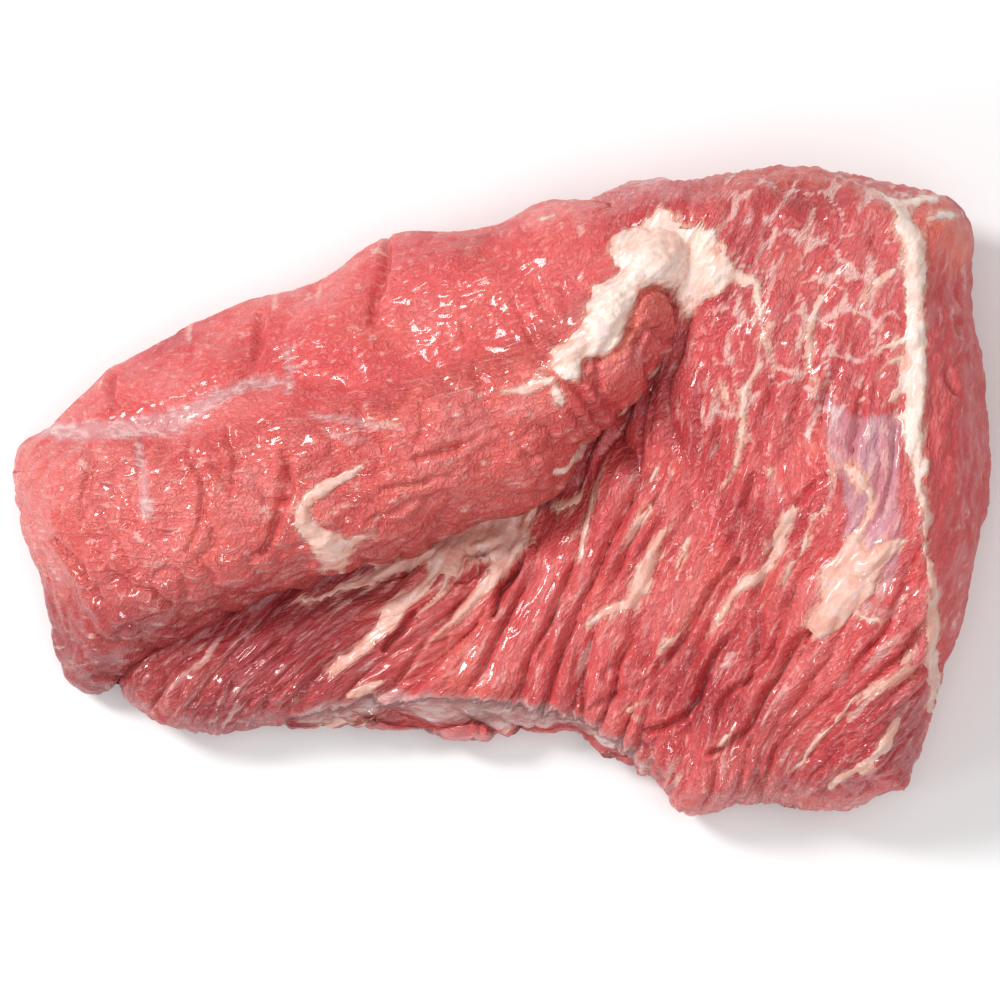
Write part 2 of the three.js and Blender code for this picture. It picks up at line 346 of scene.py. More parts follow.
# %% Swells
MAIN_SWELLS = [  # places along it, width, height
    ([(98, 69), (106, 56), (106, 25), (105, 0), (108, -28), (109, -50)], 2.8, 1.6),
    ([(100, -15), (88, -28), (80, -38)], 5.5, 1.8),
    ([(52, 66), (56, 57), (55, 50)], 7, 3),
    ([(74.1, 72.6), (78.7, 71.8), (83.3, 72.8)], 5, -2.6),
    ([(75.4, 67.2), (85.6, 65.2), (94.1, 67.7)], 4, 1.4),
    ([(103.6, 72.3), (110, 68.7), (115.6, 64.1)], 7, 2.2),
]
FLAP_SWELLS = [
    ([(-120, 14), (-82, 16), (-55, 27), (-40, 25)], 5, -3),
    ([(-29, 62), (-31, 51), (-32, 41)], 3.5, -1.8),
    ([(-56, -2), (-59, -17)], 4, -1.5),
    ([(15, 27), (24, 38), (36, 50), (42, 66)], 6.5, 2.4),
    ([(42, 54), (54, 56), (60, 49)], 5, 2),
    ([(20, 17), (31, 28), (40, 38)], 5.5, 4),
    ([(40, 44), (44, 43)], 4.5, 2.6),
]
print(len(MAIN_SWELLS) + len(FLAP_SWELLS), "swells")

# %% Slits of the main mass, and the torn ledge along its front
MAIN_SLITS = [  # x, y and half width of each stop, and how deep
    ([(5.8, -17, 0.5), (4.2, -20.9, 1.3), (1.2, -26, 1.3), (-1.4, -33.2, 0.4)], 6),
    ([(-22.1, -32.4, 0.4), (-25.2, -35.7, 0.8), (-29.6, -40.8, 0.5)], 3.5),
    ([(-0.9, -14.7, 0.4), (-4.5, -16.8, 0.9), (-7.8, -17.8, 0.5)], 3.5),
    ([(-2.9, -19.3, 0.5), (-6.3, -21.9, 1), (-9.9, -24.4, 0.8)], 3),
    ([(5.8, -5.5, 0.3), (5.2, -7, 0.6), (4.7, -9.1, 0.4)], 2.5),
    ([(7.3, -2.9, 0.3), (6.8, -4.2, 0.5), (6.5, -5.5, 0.3)], 2.5),
    ([(-13.4, -38.5, 0.3), (-15, -39.6, 0.6), (-17, -40.8, 0.4)], 3),
    ([(-7.8, -25.5, 0.3), (-13.4, -33.7, 0.6), (-20.6, -41.9, 0.5), (-26.2, -49.5, 0.3)], 2.6),
    ([(15.2, -28, 0.3), (12.2, -38.3, 0.5), (10.1, -46, 0.3)], 2),
    ([(78.2, -37.8, 0.5), (74.1, -41.3, 1), (69.2, -49.5, 0.8), (63.6, -61.8, 0.6), (54.1, -68.5, 0.3)], 3.6),
    ([(60.3, -19.1, 0.3), (54.7, -25.7, 0.6), (49, -34.7, 0.8), (43.4, -43.9, 0.8), (35.5, -51.1, 0.4)], 3),
    ([(58.2, -38.8, 0.4), (52.4, -49.5, 0.9), (48, -57.2, 0.8), (38.3, -63.4, 0.4)], 3.6),
    ([(69.2, -41.6, 0.3), (63.4, -49.5, 0.6), (58.2, -53.6, 0.6), (55.2, -61.3, 0.3)], 3),
    ([(36.7, -31.4, 0.3), (32.1, -41.6, 0.6), (27, -49.5, 0.4)], 2.4),
    ([(45.7, 11.4, 0.3), (42.9, -5.5, 0.5), (36.7, -17.3, 0.3)], 1.8),
    ([(63.6, 1.2, 0.3), (60.8, -11.1, 0.6), (54.7, -20.1, 0.3)], 2.2),
    ([(82.8, 1.9, 0.3), (78.2, -0.9, 0.6), (75.4, -5.5, 0.3)], 2.4),
    ([(33.9, -51.6, 0.3), (28.5, -54.1, 0.6), (23.4, -57.2, 0.4)], 2.6),
    ([(93.6, -53.6, 0.3), (86.4, -60.3, 0.6), (78.2, -69.5, 0.4)], 1.8),
    ([(115.6, 43.1, 0.3), (115.8, 39.8, 0.8), (116.4, 36.7, 0.3)], 2.2),
    ([(113.3, 28.8, 0.3), (114, 25.7, 0.8), (115.1, 22.7, 0.3)], 2.2),
    ([(-18, -17.8, 0.4), (-24.4, -20.9, 0.8), (-30.8, -23.4, 0.5)], 2),
]
LEDGE = [  # the front edge has sunk here, and film shows on it
    (-52.4, -61.3, 2.3), (-43.6, -59.3, 2.3), (-34.7, -57.7, 2.6), (-25.7, -57.7, 3.1), (-12.9, -59.3, 3.8),
    (-0.1, -59.3, 3.6), (10.1, -60.3, 3.1), (19.1, -62.1, 2.8), (26.8, -65.9, 2.3), (33.7, -71, 1.5),
]
LEDGE_DROP = 9
print(len(MAIN_SLITS), "slits in the main mass")

# %% Slits of the flap
FLAP_SLITS = [  # laid out like those of the main mass
    ([(-28.8, 63.1, 0.5), (-29.8, 57, 1), (-30.8, 51.3, 1), (-32.4, 40.6, 0.3)], 2.2),
    ([(-61.1, 43.6, 0.5), (-62.1, 37.2, 1.5), (-62.8, 31.4, 0.5)], 1.4),
    ([(-99.5, 30.3, 0.5), (-100, 24.4, 0.8), (-98.4, 20.1, 0.3)], 1.6),
    ([(-9.3, 40.3, 0.3), (-8.8, 37.8, 0.5), (-8.8, 35.5, 0.3)], 1.6),
    ([(-54.4, 7.3, 0.5), (-53.6, 0.1, 1.3), (-56.4, -10.1, 1.5), (-59.5, -16.8, 0.5)], 2.2),
    ([(-78, 5.2, 0.3), (-74.6, -1.4, 1), (-75.4, -9.6, 0.8), (-79.5, -17.8, 0.3)], 1.7),
    ([(-87.2, 12.9, 0.3), (-89.7, 9.1, 0.5), (-91.5, 5.2, 0.3)], 1.2),
    ([(-112.3, -13.2, 0.3), (-107.6, -21.6, 1), (-101.5, -29.1, 0.3)], 2.2),
    ([(-102.5, -17.8, 0.3), (-94.8, -25.5, 0.8), (-83.1, -29.1, 0.3)], 1.6),
    ([(-104.6, 5.2, 0.3), (-106.6, -2.4, 0.6), (-106.1, -10.1, 0.3)], 1.8),
    ([(-68.7, 12.9, 0.3), (-66.7, 5.2, 0.8), (-67.7, -3.7, 0.3)], 1.4),
    ([(45.2, 67.7, 0.3), (45.4, 65.2, 0.8), (45.2, 62.8, 0.3)], 3),
    ([(15.2, 24.2, 0.3), (19.8, 22.4, 0.8), (25.5, 16, 0.5)], 2),
    ([(15.2, 20.1, 0.3), (19.1, 17, 0.8), (22.4, 12.9, 0.3)], 1.5),
    ([(22.4, 25.2, 0.3), (26, 21.6, 0.8), (30.1, 19.1, 0.3)], 1.6),
    ([(2.9, 47.2, 0.3), (6, 39.8, 0.8), (11.6, 31.9, 0.3)], 0.8),
    ([(8.1, 50.8, 0.3), (10.9, 44.2, 0.8), (14.2, 39.6, 0.3)], 1.0),
    ([(13.7, 51.3, 0.3), (16.3, 47.2, 0.6), (17.8, 41.1, 0.3)], 0.8),
    ([(27.5, 35.5, 0.3), (24.7, 28.8, 0.8), (25, 23.2, 0.3)], 1.8),
    ([(37, 39, 0.3), (35.7, 35.5, 0.8), (33.7, 30.3, 0.3)], 2.4),
    ([(40.8, 38.5, 0.3), (39.3, 34.4, 0.6), (36.7, 28.3, 0.3)], 2.2),
    ([(47, 43.1, 0.3), (44.4, 47.2, 0.5), (39.3, 48.8, 0.5), (35.7, 47, 0.5), (33.7, 43.1, 0.5),
      (32.4, 37.2, 0.5), (29.1, 32.6, 0.5), (25.5, 30.3, 0.5), (21.6, 29.3, 0.5), (20.9, 25.2, 0.3)], 2.2),
    ([(45.4, 38.5, 0.3), (41.9, 37, 0.8), (37.8, 39, 0.3)], 2),
    ([(-21.1, 5.2, 0.3), (-12.9, 7.3, 0.6), (-5.8, 10.9, 0.3)], 1.4),
    ([(-29.6, -2.4, 0.3), (-20.6, -0.4, 0.6), (-12.4, 2.2, 0.3)], 1.6),
    ([(-32.9, -10.1, 0.3), (-23.2, -5.5, 0.6), (-15.5, -3.7, 0.3)], 1.4),
]
print(len(FLAP_SLITS), "slits in the flap")

# %% Reading swells and slits


def swell(swells, xy):
    return sum(height * bell(nearest(curve(places, 24), xy)[0], width) for places, width, height in swells)


def wander(xy):
    """The same places moved a little by soft noise, so that no outline looks drawn with a ruler."""
    x, y = xy.T
    return xy + np.column_stack([
        0.9 * lumps(x / 9, y / 9, seed=seed) + 0.4 * lumps(x / 2.6, y / 2.6, seed=seed + 1) for seed in (51, 53)
    ])


def slit(slits, xy):
    """How far down each place is cut, with small lips beside each cut."""
    moved = wander(xy)
    total = np.zeros(len(xy))
    for stops, depth in slits:
        inner = stroke_depth(np.array(stops) * (1, 1, 0.65), moved)
        total += depth * (ease(inner, -1.1, 1.0) - 0.13 * bell(inner + 1.7, 0.9))
    return total


print("deepest at the end of the fold:", slit(MAIN_SLITS, np.array([(3.0, -23.0)])).round(1), "mm")

# %% Patches of fat
TOP_FAT = [  # it lies across the end of the fold, so both masses carry a share of it
    (40.8, 69.8), (43.1, 69.5), (44.9, 68.2), (46.5, 66.7), (48.5, 65.2), (51.8, 64.1), (55.2, 64.6),
    (56.2, 61.1), (54.7, 58.5), (58.2, 56.4), (61.8, 52.9), (65.7, 51.3), (65.2, 48.8), (61.3, 48.8),
    (59.3, 49.8), (56.2, 47), (52.6, 46), (50, 44.2), (48, 42.4), (46.2, 45.7), (43.4, 48.5), (38.8, 49.5),
    (35.2, 47.7), (33.2, 43.6), (31.9, 37.2), (28.8, 33.2), (25.5, 30.8), (21.4, 30.1), (20.4, 25.7),
    (16.8, 24.4), (13.4, 27.3), (12.9, 31.4), (14.7, 34.2), (17.8, 36.2), (20.4, 39), (22.7, 44.2),
    (23.4, 49.3), (27, 51.3), (30.3, 52.9), (29.1, 57), (28.5, 61.6), (33.2, 63.6), (37.8, 65.9), (39.6, 67.7),
]
MAIN_FAT_PATCHES = [
    TOP_FAT,
    [(81.8, -21.4), (82.3, -19.8), (84.9, -17.8), (86.4, -15.2), (89.5, -14), (91.5, -17.3), (95.6, -16.8),
     (99.2, -15), (101.8, -15.7), (101.2, -17.8), (98.7, -20.4), (96.1, -23.9), (94.6, -27.5), (92, -30.1),
     (89, -33.2), (86.4, -36.2), (82.8, -38.3), (79.2, -38), (78.2, -36.2), (79.2, -34.2), (81.8, -31.1),
     (82.6, -28), (82.3, -24.4)],
    [(-31.9, -19.3), (-23.2, -16.3), (-12.9, -12.2), (-5.2, -7.6), (2.4, -2.4), (7, 0.6), (10.6, 0.6),
     (10.1, -3.7), (8.6, -7.6), (7.3, -10.6), (7.8, -14.2), (6, -17), (2.9, -21.6), (-1.2, -21.1),
     (-3.7, -22.9), (-5, -18.8), (-8.3, -20.9), (-10.9, -23.9), (-14, -22.9), (-18.6, -22.9), (-19.6, -20.9),
     (-24.7, -21.1), (-30.8, -22.9)],
]
print("outline of the top fat:", len(TOP_FAT), "places")

# %% Strokes of fat on the main mass
MAIN_FAT_STROKES = [
    [(97.7, 72.8, 1.5), (100.5, 67.2, 2.3), (103.6, 61.6, 2.8), (105.1, 55.2, 2.6), (105.3, 47.2, 2.6),
     (105.1, 36.5, 2.6), (104.8, 23.2, 2.8), (104.6, 14, 2.8), (105.3, 4.7, 1.5), (106.1, -6.3, 1),
     (107.4, -17.8, 0.9), (108.9, -29.3, 1), (109.4, -40.8, 1.5), (109.7, -57.2, 0.8)],
    [(105.9, 7.3, 0.5), (107.1, 4.7, 1), (106.9, 2.2, 0.8)],
    [(106.9, -27.5, 0.4), (109.2, -38.3, 0.8), (111.5, -46.5, 1.3), (110.5, -53.6, 0.8)],
    [(94.1, -4, 0.8), (93.6, -7.6, 1), (91.5, -11.4, 1.3), (88.4, -14.7, 1.8)],
    [(87.7, 4.2, 1.3), (91, 1.2, 2.3), (93.6, -2.4, 1.5)],
    [(42.6, -10.6, 0.8), (40.3, -15.2, 1.5), (38.3, -19.8, 1.8), (36, -25.5, 2), (34.2, -28.8, 1.5)],
    [(33.7, -29.6, 1.3), (29.8, -31.1, 1.3), (26, -32.9, 1), (23.4, -34.7, 0.8)],
    [(38.8, -5, 0.5), (35.7, -9.6, 1), (31.9, -15.2, 0.5)],
    [(26.8, 3.2, 0.5), (24.4, -3.7, 1.3), (22.4, -10.1, 1.5), (20.9, -17.8, 0.8)],
    [(13.2, -4, 0.8), (15.7, -6, 1), (18.6, -4, 1.2), (20.6, -0.9, 1), (22.4, 1.7, 0.5)],
    [(51.1, -30.6, 0.5), (48, -35.2, 1), (43.9, -41.1, 0.5)],
    [(74.9, -5.8, 0.8), (72.6, -11.4, 1.5), (70, -16.5, 1.5), (68.5, -19.8, 0.5)],
    [(79.7, -7.6, 0.3), (78.2, -12.7, 0.4), (75.9, -17.8, 0.5), (71.3, -25.5, 0.4)],
    [(69, -21.1, 0.8), (63.9, -25.5, 1.3), (59.5, -28.5, 1.3), (56.7, -33.2, 1), (54.7, -37.5, 0.5)],
    [(53.9, -28.3, 0.5), (49.8, -33.2, 1), (46, -37.5, 1), (41.6, -41.3, 0.5)],
    [(60.5, 23.7, 0.8), (62.3, 20.6, 1.3), (61.8, 12.9, 1), (60, 4.5, 0.8), (56.7, -1.2, 0.5)],
    [(55.9, 26.8, 0.8), (57.7, 22.1, 1.3), (59.3, 18.6, 0.8)],
    [(104.6, -43.4, 0.5), (101, -48.5, 1), (93.8, -53.6, 0.9), (88.4, -58.2, 0.9), (82.8, -63.1, 0.8),
     (79, -67.2, 0.8), (75.1, -71.8, 0.4)],
    [(100.5, -60.3, 0.8), (100, -64.6, 1.3), (95.9, -69, 1), (87.9, -73.9, 1), (83.8, -77.7, 0.5)],
    [(59.5, -61.8, 0.5), (57.2, -65.2, 0.8), (54.9, -68.2, 0.3)],
    [(-17.5, -22.4, 1.3), (-19.3, -25.5, 1.5), (-23.7, -28.5, 1.8), (-27.8, -32.6, 2.6), (-30.8, -35.7, 2),
     (-34.4, -39.6, 0.8)],
    [(-33.9, -40.3, 0.8), (-38.5, -43.4, 1.3), (-44.2, -48.3, 0.5)],
    [(-13.4, -22.9, 0.8), (-15.2, -27.5, 0.8), (-18.6, -30.6, 0.9), (-21.6, -33.2, 0.5)],
    [(1.9, -19.3, 2.3), (-1.7, -23.7, 2), (-6.3, -28, 1.5), (-10.4, -32.1, 1.5), (-14, -36.2, 1.5),
     (-17, -39.6, 0.8)],
    [(-50.8, -29.6, 0.8), (-41.1, -26, 1), (-31.9, -22.4, 1.5), (-23.2, -19.3, 1.3)],
    [(64.9, 48.8, 1.3), (65.7, 43.6, 1.3), (66.4, 37.2, 1), (69, 29.8, 0.5)],
    [(81.5, 46, 0.8), (78.7, 40.6, 1), (78.7, 34.2, 1), (79, 27, 0.8), (82.3, 23.7, 0.5)],
    [(66.4, 30.3, 0.8), (63.4, 25.7, 1), (61.8, 22.7, 1)],
    [(103, 56.4, 0.5), (99.2, 52.9, 0.8), (94.6, 48.8, 0.8), (90.5, 39.6, 0.4)],
    [(102.8, 43.1, 0.8), (99.2, 40.3, 0.5), (95.6, 38.5, 0.3)],
    [(102.3, 36, 0.8), (98.7, 33.4, 0.5), (95.1, 31.9, 0.3)],
    [(101.8, 23.2, 1), (99.2, 21.1, 0.8), (96.4, 19.1, 0.3)],
    [(101.5, 17, 1), (98.7, 15.5, 0.8), (96.6, 12.9, 0.3)],
    [(101.2, 30.3, 0.8), (97.2, 28.8, 0.5), (93.6, 26.2, 0.3)],
    [(101.8, 30.3, 0.8), (101.2, 26.8, 1), (100.5, 22.7, 0.5)],
    [(99.7, 70.3, 1), (105.9, 71.6, 1.8), (111, 73.3, 1.3)],
    [(107.9, 65.2, 0.8), (112.5, 67.2, 1.3), (115.1, 67.7, 0.8)],
    [(94.1, 75.4, 0.5), (97.7, 72.8, 1.5), (101.2, 68.7, 1.5)],
    [(51.1, 66.2, 0.5), (54.1, 61.6, 0.8), (58.8, 57, 0.5)],
    [(-38.5, -52.9, 0.8), (-34.4, -51.1, 1), (-30.8, -50, 0.5)],
    [(-46.7, -60.5, 0.4), (-39.8, -59.8, 0.8), (-30.8, -58.5, 0.5)],
    [(35.7, -55.2, 0.5), (33.7, -58.2, 0.8), (37.2, -59.8, 0.5)],
    [(82.3, -5.8, 0.3), (82.3, -6.3, 0.8), (82.3, -7, 0.3)],
    [(83.3, 3.7, 0.4), (83.8, 2.7, 0.9), (84.6, 1.7, 0.4)],
    [(68, 4.2, 0.4), (68.2, 2.7, 0.8), (68, 1.2, 0.3)],
    [(40.8, 5.2, 0.3), (39.6, 2.7, 0.6), (38.5, 0.1, 0.3)],
    [(48.5, -12.7, 0.3), (47, -16.8, 0.6), (44.9, -20.9, 0.3)],
    [(88.2, -32.6, 0.4), (92, -34.2, 0.8), (96.6, -34.7, 0.4)],
]
print(len(MAIN_FAT_STROKES), "strokes of fat on the main mass")

# %% Fat on the flap
FLAP_FAT_PATCHES = [TOP_FAT]
FLAP_FAT_STROKES = [
    [(-34.9, 3.2, 0.6), (-38.5, 0.9, 1), (-42.1, -0.6, 1.5), (-44.9, -2.4, 1.8), (-48, -5.2, 2),
     (-49.3, -8.6, 2), (-47.2, -12.7, 2.6), (-44.2, -16, 3.6), (-42.1, -18.3, 3.3), (-41.1, -20.9, 1.5)],
    [(-45.7, -21.6, 0.5), (-43.6, -17.8, 1.5), (-40.1, -14.7, 1.3)],
    [(-39.8, -16.3, 0.9), (-36.2, -14.2, 0.8), (-31.6, -12.4, 0.4)],
    [(1.4, 22.4, 0.5), (5, 23.2, 1), (9.6, 24.7, 1.3), (13.2, 25.7, 0.8)],
    [(14.5, 23.7, 1), (15.2, 21.1, 1.3), (15.7, 19.1, 0.5)],
    [(-32.9, 15.5, 0.5), (-29.3, 14.7, 0.9), (-26, 14, 0.5)],
    [(10.9, 66.2, 0.4), (12.7, 66.7, 0.6), (14.2, 67.2, 0.3)],
    [(48.5, 45.2, 0.8), (47, 41.1, 0.9), (44.9, 37.2, 0.9), (41.9, 30.3, 0.9), (39.3, 26.2, 0.8)],
    [(35.7, 22.7, 0.4), (26.5, 14.5, 0.5), (19.1, 7, 0.5), (13.4, 1.9, 0.4)],
    [(-29.8, 64.1, 0.3), (-31.1, 61.6, 0.4), (-32.6, 59.8, 0.3)],
]
print(len(FLAP_FAT_STROKES), "strokes of fat on the flap")

# %% Film
MAIN_FILM_PATCHES = [
    [(82.8, 15.5), (88.2, 17), (92.5, 17), (97.2, 16.8), (100.5, 17), (101.2, 6.8), (100.7, -5.5), (101, -17.8),
     (99.2, -28), (95.1, -31.1), (94.1, -22.9), (89.5, -16.8), (86.9, -15.2), (87.2, -5), (86.7, 0.6),
     (84.9, 6.3), (83.3, 10.9)],
]
MAIN_FILM_STROKES = [
    [(-51.3, -59.3, 2), (-41.9, -56.7, 2.6), (-30.8, -55.2, 2.3), (-20.6, -56.7, 2.8), (-10.4, -57.2, 3.3),
     (-0.1, -57.7, 3.8), (8.3, -58.8, 3.6), (17, -60, 2.8), (25.5, -62.6, 2), (31.9, -66.9, 1.3),
     (38.3, -72.8, 0.8)],
    [(81.3, 22.1, 0.8), (83.8, 19.1, 1.5), (87.4, 16.5, 1.8)],
    [(89.5, -31.1, 0.8), (94.6, -32.1, 1.5), (99.7, -33.2, 0.8)],
    [(48.5, 64.6, 1), (52.1, 60, 2), (57.2, 57.5, 1.3)],
]
FLAP_FILM_STROKES = [
    [(-116.6, 14.5, 1.8), (-100, 14, 2.6), (-82.3, 17, 2.6), (-71, 22.1, 2), (-61.1, 25.2, 1.5),
     (-53.9, 26.8, 0.8)],
    [(-91.8, 10.4, 0.8), (-91, 3.2, 1), (-90.2, -2.4, 1.3), (-89.2, -7, 1.8)],
    [(-54.4, 35.5, 0.5), (-54.1, 29.6, 0.8), (-53.9, 23.7, 1)],
    [(-97.4, 14.5, 0.5), (-94.1, 14, 1), (-90.8, 14.5, 0.5)],
    [(-48.3, 18, 0.3), (-41.1, 16, 0.9), (-31.9, 14, 0.8), (-24.7, 12.9, 0.3)],
    [(-43.6, 11.9, 0.3), (-38, 10.4, 0.6), (-32.9, 9.9, 0.3)],
]


def depth_of(patches, strokes, xy):
    """Depth inside whichever of the patches and strokes a place is deepest in."""
    xy = wander(xy)
    depths = [patch_depth(outline, xy) for outline in patches] + [stroke_depth(stops, xy) for stops in strokes]
    return np.max(depths, axis=0)


print("strokes of film:", len(MAIN_FILM_STROKES) + len(FLAP_FILM_STROKES))

# %% [markdown]
# ## Relief of the meat
#
# Close up, the fan is made of bundles about 7 mm wide and a finger long, each made of finer ones. Between
# them run crevices, deep in some places and closed in others. Bump in the material could fake the light on
# them, but not their outline. So two kinds of noise stretched along the grain make them as real mesh: long
# cells, and noise folded at its middle, which leaves spindles with pointed ends. The flap's roll is crumpled,
# and its cut slab is nearly smooth.

# %% Turned, folded and creased noise
TURN = np.array([[0.80, 0.52, 0.30], [-0.58, 0.78, 0.22], [-0.12, -0.35, 0.93]])


def turned(place, size):
    """Places in units of a size, turned so that the squares of the noise don't line up with the edges."""
    return (place @ TURN.T / size).T


def folded(a, b, c=0.0, seed=0):
    """Soft noise folded at its middle, which leaves thin creases: -1 at a crease, up to 1 between."""
    return 2 * np.minimum(np.abs(lumps(a, b, c, seed=seed)) * 2.2, 1) - 1


def creased(a, b, seed):
    """Rounded bumps with narrow crevices between, and how near a crevice each place is."""
    border, bump = cells(a, b, seed)
    round_top, crevice = 0.75 * (1 - np.exp(-3.2 * border)), 0.7 * np.exp(-9 * border)
    return round_top - crevice + 0.5 * (bump - 0.5), np.exp(-8 * border)


print("a row of folded noise:", folded(np.arange(4) * 0.4, np.zeros(4)).round(2).tolist())

# %% Relief of the main mass


def main_relief(place, across, along):
    x, y, z = place.T
    thick_top = ease(y, 8, 40) * ease(x, 46, 62)
    wall = ease(x, 105, 111)
    left_lobe = 1 - ease(x, -5, 22)
    side = 1 - ease(z, 6, 24)
    front_corner = ease(-y, 46, 64) * ease(x, 30, 50)
    coarse = (1 - 0.8 * thick_top) * (1 - 0.85 * wall) * (1 - 0.25 * left_lobe) * (1 - 0.5 * side)
    coarse *= (1 - 0.5 * front_corner) * (1 - 0.6 * ease(y, 50, 64))
    across = across + 2.4 * lumps(along / 27, across / 12, seed=1) + 0.8 * lumps(along / 8, across / 4, seed=2)
    open_up = ease(lumps(*turned(place, 19), octaves=2, seed=8), -0.4, 0.75)
    bundles, crevice = creased(across / 6.9, along / 85, seed=3)
    height = coarse * (0.45 + 1.25 * open_up) * bundles * 1.9
    valley = coarse * open_up * crevice
    split_up = ease(lumps(*turned(place, 12), seed=9), -0.5, 0.5)
    strands = folded(across / 3.6, along / 26, z / 26, seed=4)
    height += (0.2 + 0.8 * coarse) * (0.35 + 0.65 * split_up) * strands * 0.7
    valley = np.maximum(valley, 0.5 * coarse * split_up * ease(-strands, 0.1, 1))
    height += 0.3 * folded(across / 1.6, along / 6, z / 6, seed=5)
    height += 1.2 * lumps(*turned(place, 15), octaves=2, seed=6)
    rough = folded(*turned(place, 3.4), seed=7)
    height += (0.08 + 0.2 * thick_top) * rough
    return height, valley


# %% Relief of the flap


def flap_relief(place, across, along):
    slab = ease(across, 2, 13)
    end = ease(place[:, 0], 14, 30)
    roll = (1 - slab) * (1 - 0.3 * end) * (1 - 0.55 * ease(-place[:, 0], 98, 114))
    drift = 2.0 * np.column_stack([lumps(*turned(place, 7), octaves=2, seed=seed) for seed in (12, 13, 14)])
    bumps = folded(*turned(place + drift, 7.5), seed=15)
    ripples = folded(*turned(place + 0.6 * drift, 3.2), seed=16)
    height = 1.4 * lumps(*turned(place, 17), octaves=2, seed=11)
    height += (0.15 + 0.55 * roll) * bumps + (0.06 + 0.14 * roll) * ripples
    height += 0.1 * lumps(*turned(place, 1.5), seed=18)
    bent = across + drift[:, 0]
    height += (0.15 * slab + 0.06 * roll + 0.2 * end) * folded(bent / 1.9, along / 8, seed=17)
    return height, (0.08 + 0.4 * roll) * ease(-bumps, 0.2, 1)


sample = np.array([[60.0, -20, 50], [61, -20, 50], [62, -20, 50]])
print("relief, step by step:", main_relief(sample, across_grain(sample[:, :2]), sample[:, 1])[0].round(2))

# %% [markdown]
# ## Rings of points
#
# A closed body can be laid out like a sock: rings across it from the front edge over the top to the back
# edge and back underneath. The rings of the main mass run with the grain, so even thin bundles keep clean
# sides. Most points go where the meat shows, and few where the flap or the floor hides it.

# %% Laying the rings


def quarter_round(gap, size):
    return np.sqrt(1 - (1 - np.clip(gap / size, 0, 1)) ** 2)


def close_ends(share, evenness):
    return blend(ease(share, 0, 1), share, evenness)


def lay_rings(front, back, rings, over, under, shown):
    """Places in plan of all rings, and which of them are on top. shown gives each ring's share that is seen."""
    along = close_ends(np.arange(1, rings) / rings, 0.75)
    stops = np.linspace(0, 1, len(front))
    starts = np.column_stack([np.interp(along, stops, column) for column in front.T])
    ends = np.column_stack([np.interp(along, stops, column) for column in back.T])
    seen = shown(starts, ends)[:, None]
    used = seen / (seen + (1 - seen) * 0.15)
    steps = close_ends(np.arange(over) / over, 0.55)
    dense = steps * seen / used
    sparse = seen + (steps - used) * (1 - seen) / (1 - used + 1e-9)
    top = np.where(steps <= used, dense, sparse)
    below = np.broadcast_to(1 - close_ends(np.arange(under) / under, 0.05), (rings - 1, under))
    share = np.hstack([top, below])[:, :, None]
    return blend(starts[:, None], ends[:, None], share), np.arange(over + under) < over


def run_of(points):
    """How far each point is from the start of its ring, measured over the surface."""
    return np.cumsum(np.linalg.norm(np.diff(points, axis=1, prepend=points[:, :1]), axis=2), axis=1)


def normals_of(points):
    """Outward directions of a grid of rings."""
    around = np.roll(points, -1, axis=1) - np.roll(points, 1, axis=1)
    across = np.gradient(points, axis=0)
    normal = np.cross(across, around)
    return normal / (np.linalg.norm(normal, axis=2, keepdims=True) + 1e-12)


print("a quarter round:", quarter_round(np.arange(4), 3).round(2).tolist())

# %% From rings to pieces


def quads_of(count, size):
    """Four-sided faces between neighbouring rings."""
    ring, step = np.meshgrid(np.arange(count - 1), np.arange(size), indexing="ij")
    a = (ring * size + step).ravel()
    b = (ring * size + (step + 1) % size).ravel()
    return np.column_stack([a, a + size, b + size, b])


def piece_of(name, points, faces):
    """A smooth piece from points in millimetres."""
    mesh = bpy.data.meshes.new(name)
    mesh.from_pydata((points * MM).tolist(), [], faces)
    mesh.shade_smooth()
    piece = bpy.data.objects.new(name, mesh)
    bpy.context.collection.objects.link(piece)
    return piece


def closed_piece(name, rings, tips):
    """A closed piece from rings of points, with one more point at each tip."""
    count, size = rings.shape[:2]
    ends = []
    for tip, first, flip in ((count * size, 0, False), (count * size + 1, (count - 1) * size, True)):
        for i in range(size):
            pair = (first + i, first + (i + 1) % size)
            ends.append((tip, *(pair[::-1] if flip else pair)))
    return piece_of(name, np.vstack([rings.reshape(-1, 3), tips]), quads_of(count, size).tolist() + ends)


def store(piece, **values):
    """Numbers, or rows of three, kept on every point of a piece for its material."""
    for name, value in values.items():
        kind = "FLOAT_VECTOR" if np.ndim(value) == 2 else "FLOAT"
        attribute = piece.data.attributes.new(name, kind, "POINT")
        field = "vector" if kind == "FLOAT_VECTOR" else "value"
        attribute.data.foreach_set(field, np.ravel(value).astype(np.float32))


print("faces between three rings of four:", len(quads_of(3, 4)))

# %% [markdown]
# ## The main mass
#
# The solid's own numbers give each ring its round edges and its flat underside. Then the relief pushes every
# point straight out of the surface, which is what a sculptor's brush does too, and it fades near the floor.

# %% Rings of the main mass
MAIN_ROUND_TOP, MAIN_ROUND_THICK_END, MAIN_ROUND_UNDER = 14, 20, 12
MAIN_RIM = 0.36  # the share of its height at which the main mass is widest
main_front, main_back = curve(MAIN_FRONT, 300), curve(MAIN_BACK, 300)
flap_outline = np.vstack([curve([*FLAP_SIDE, *FOLD, FLAP_TIPS[1]], 160), curve(FLAP_BACK, 160)[::-1]])
COVER = 9  # how far the dense part of the main mass reaches under the flap


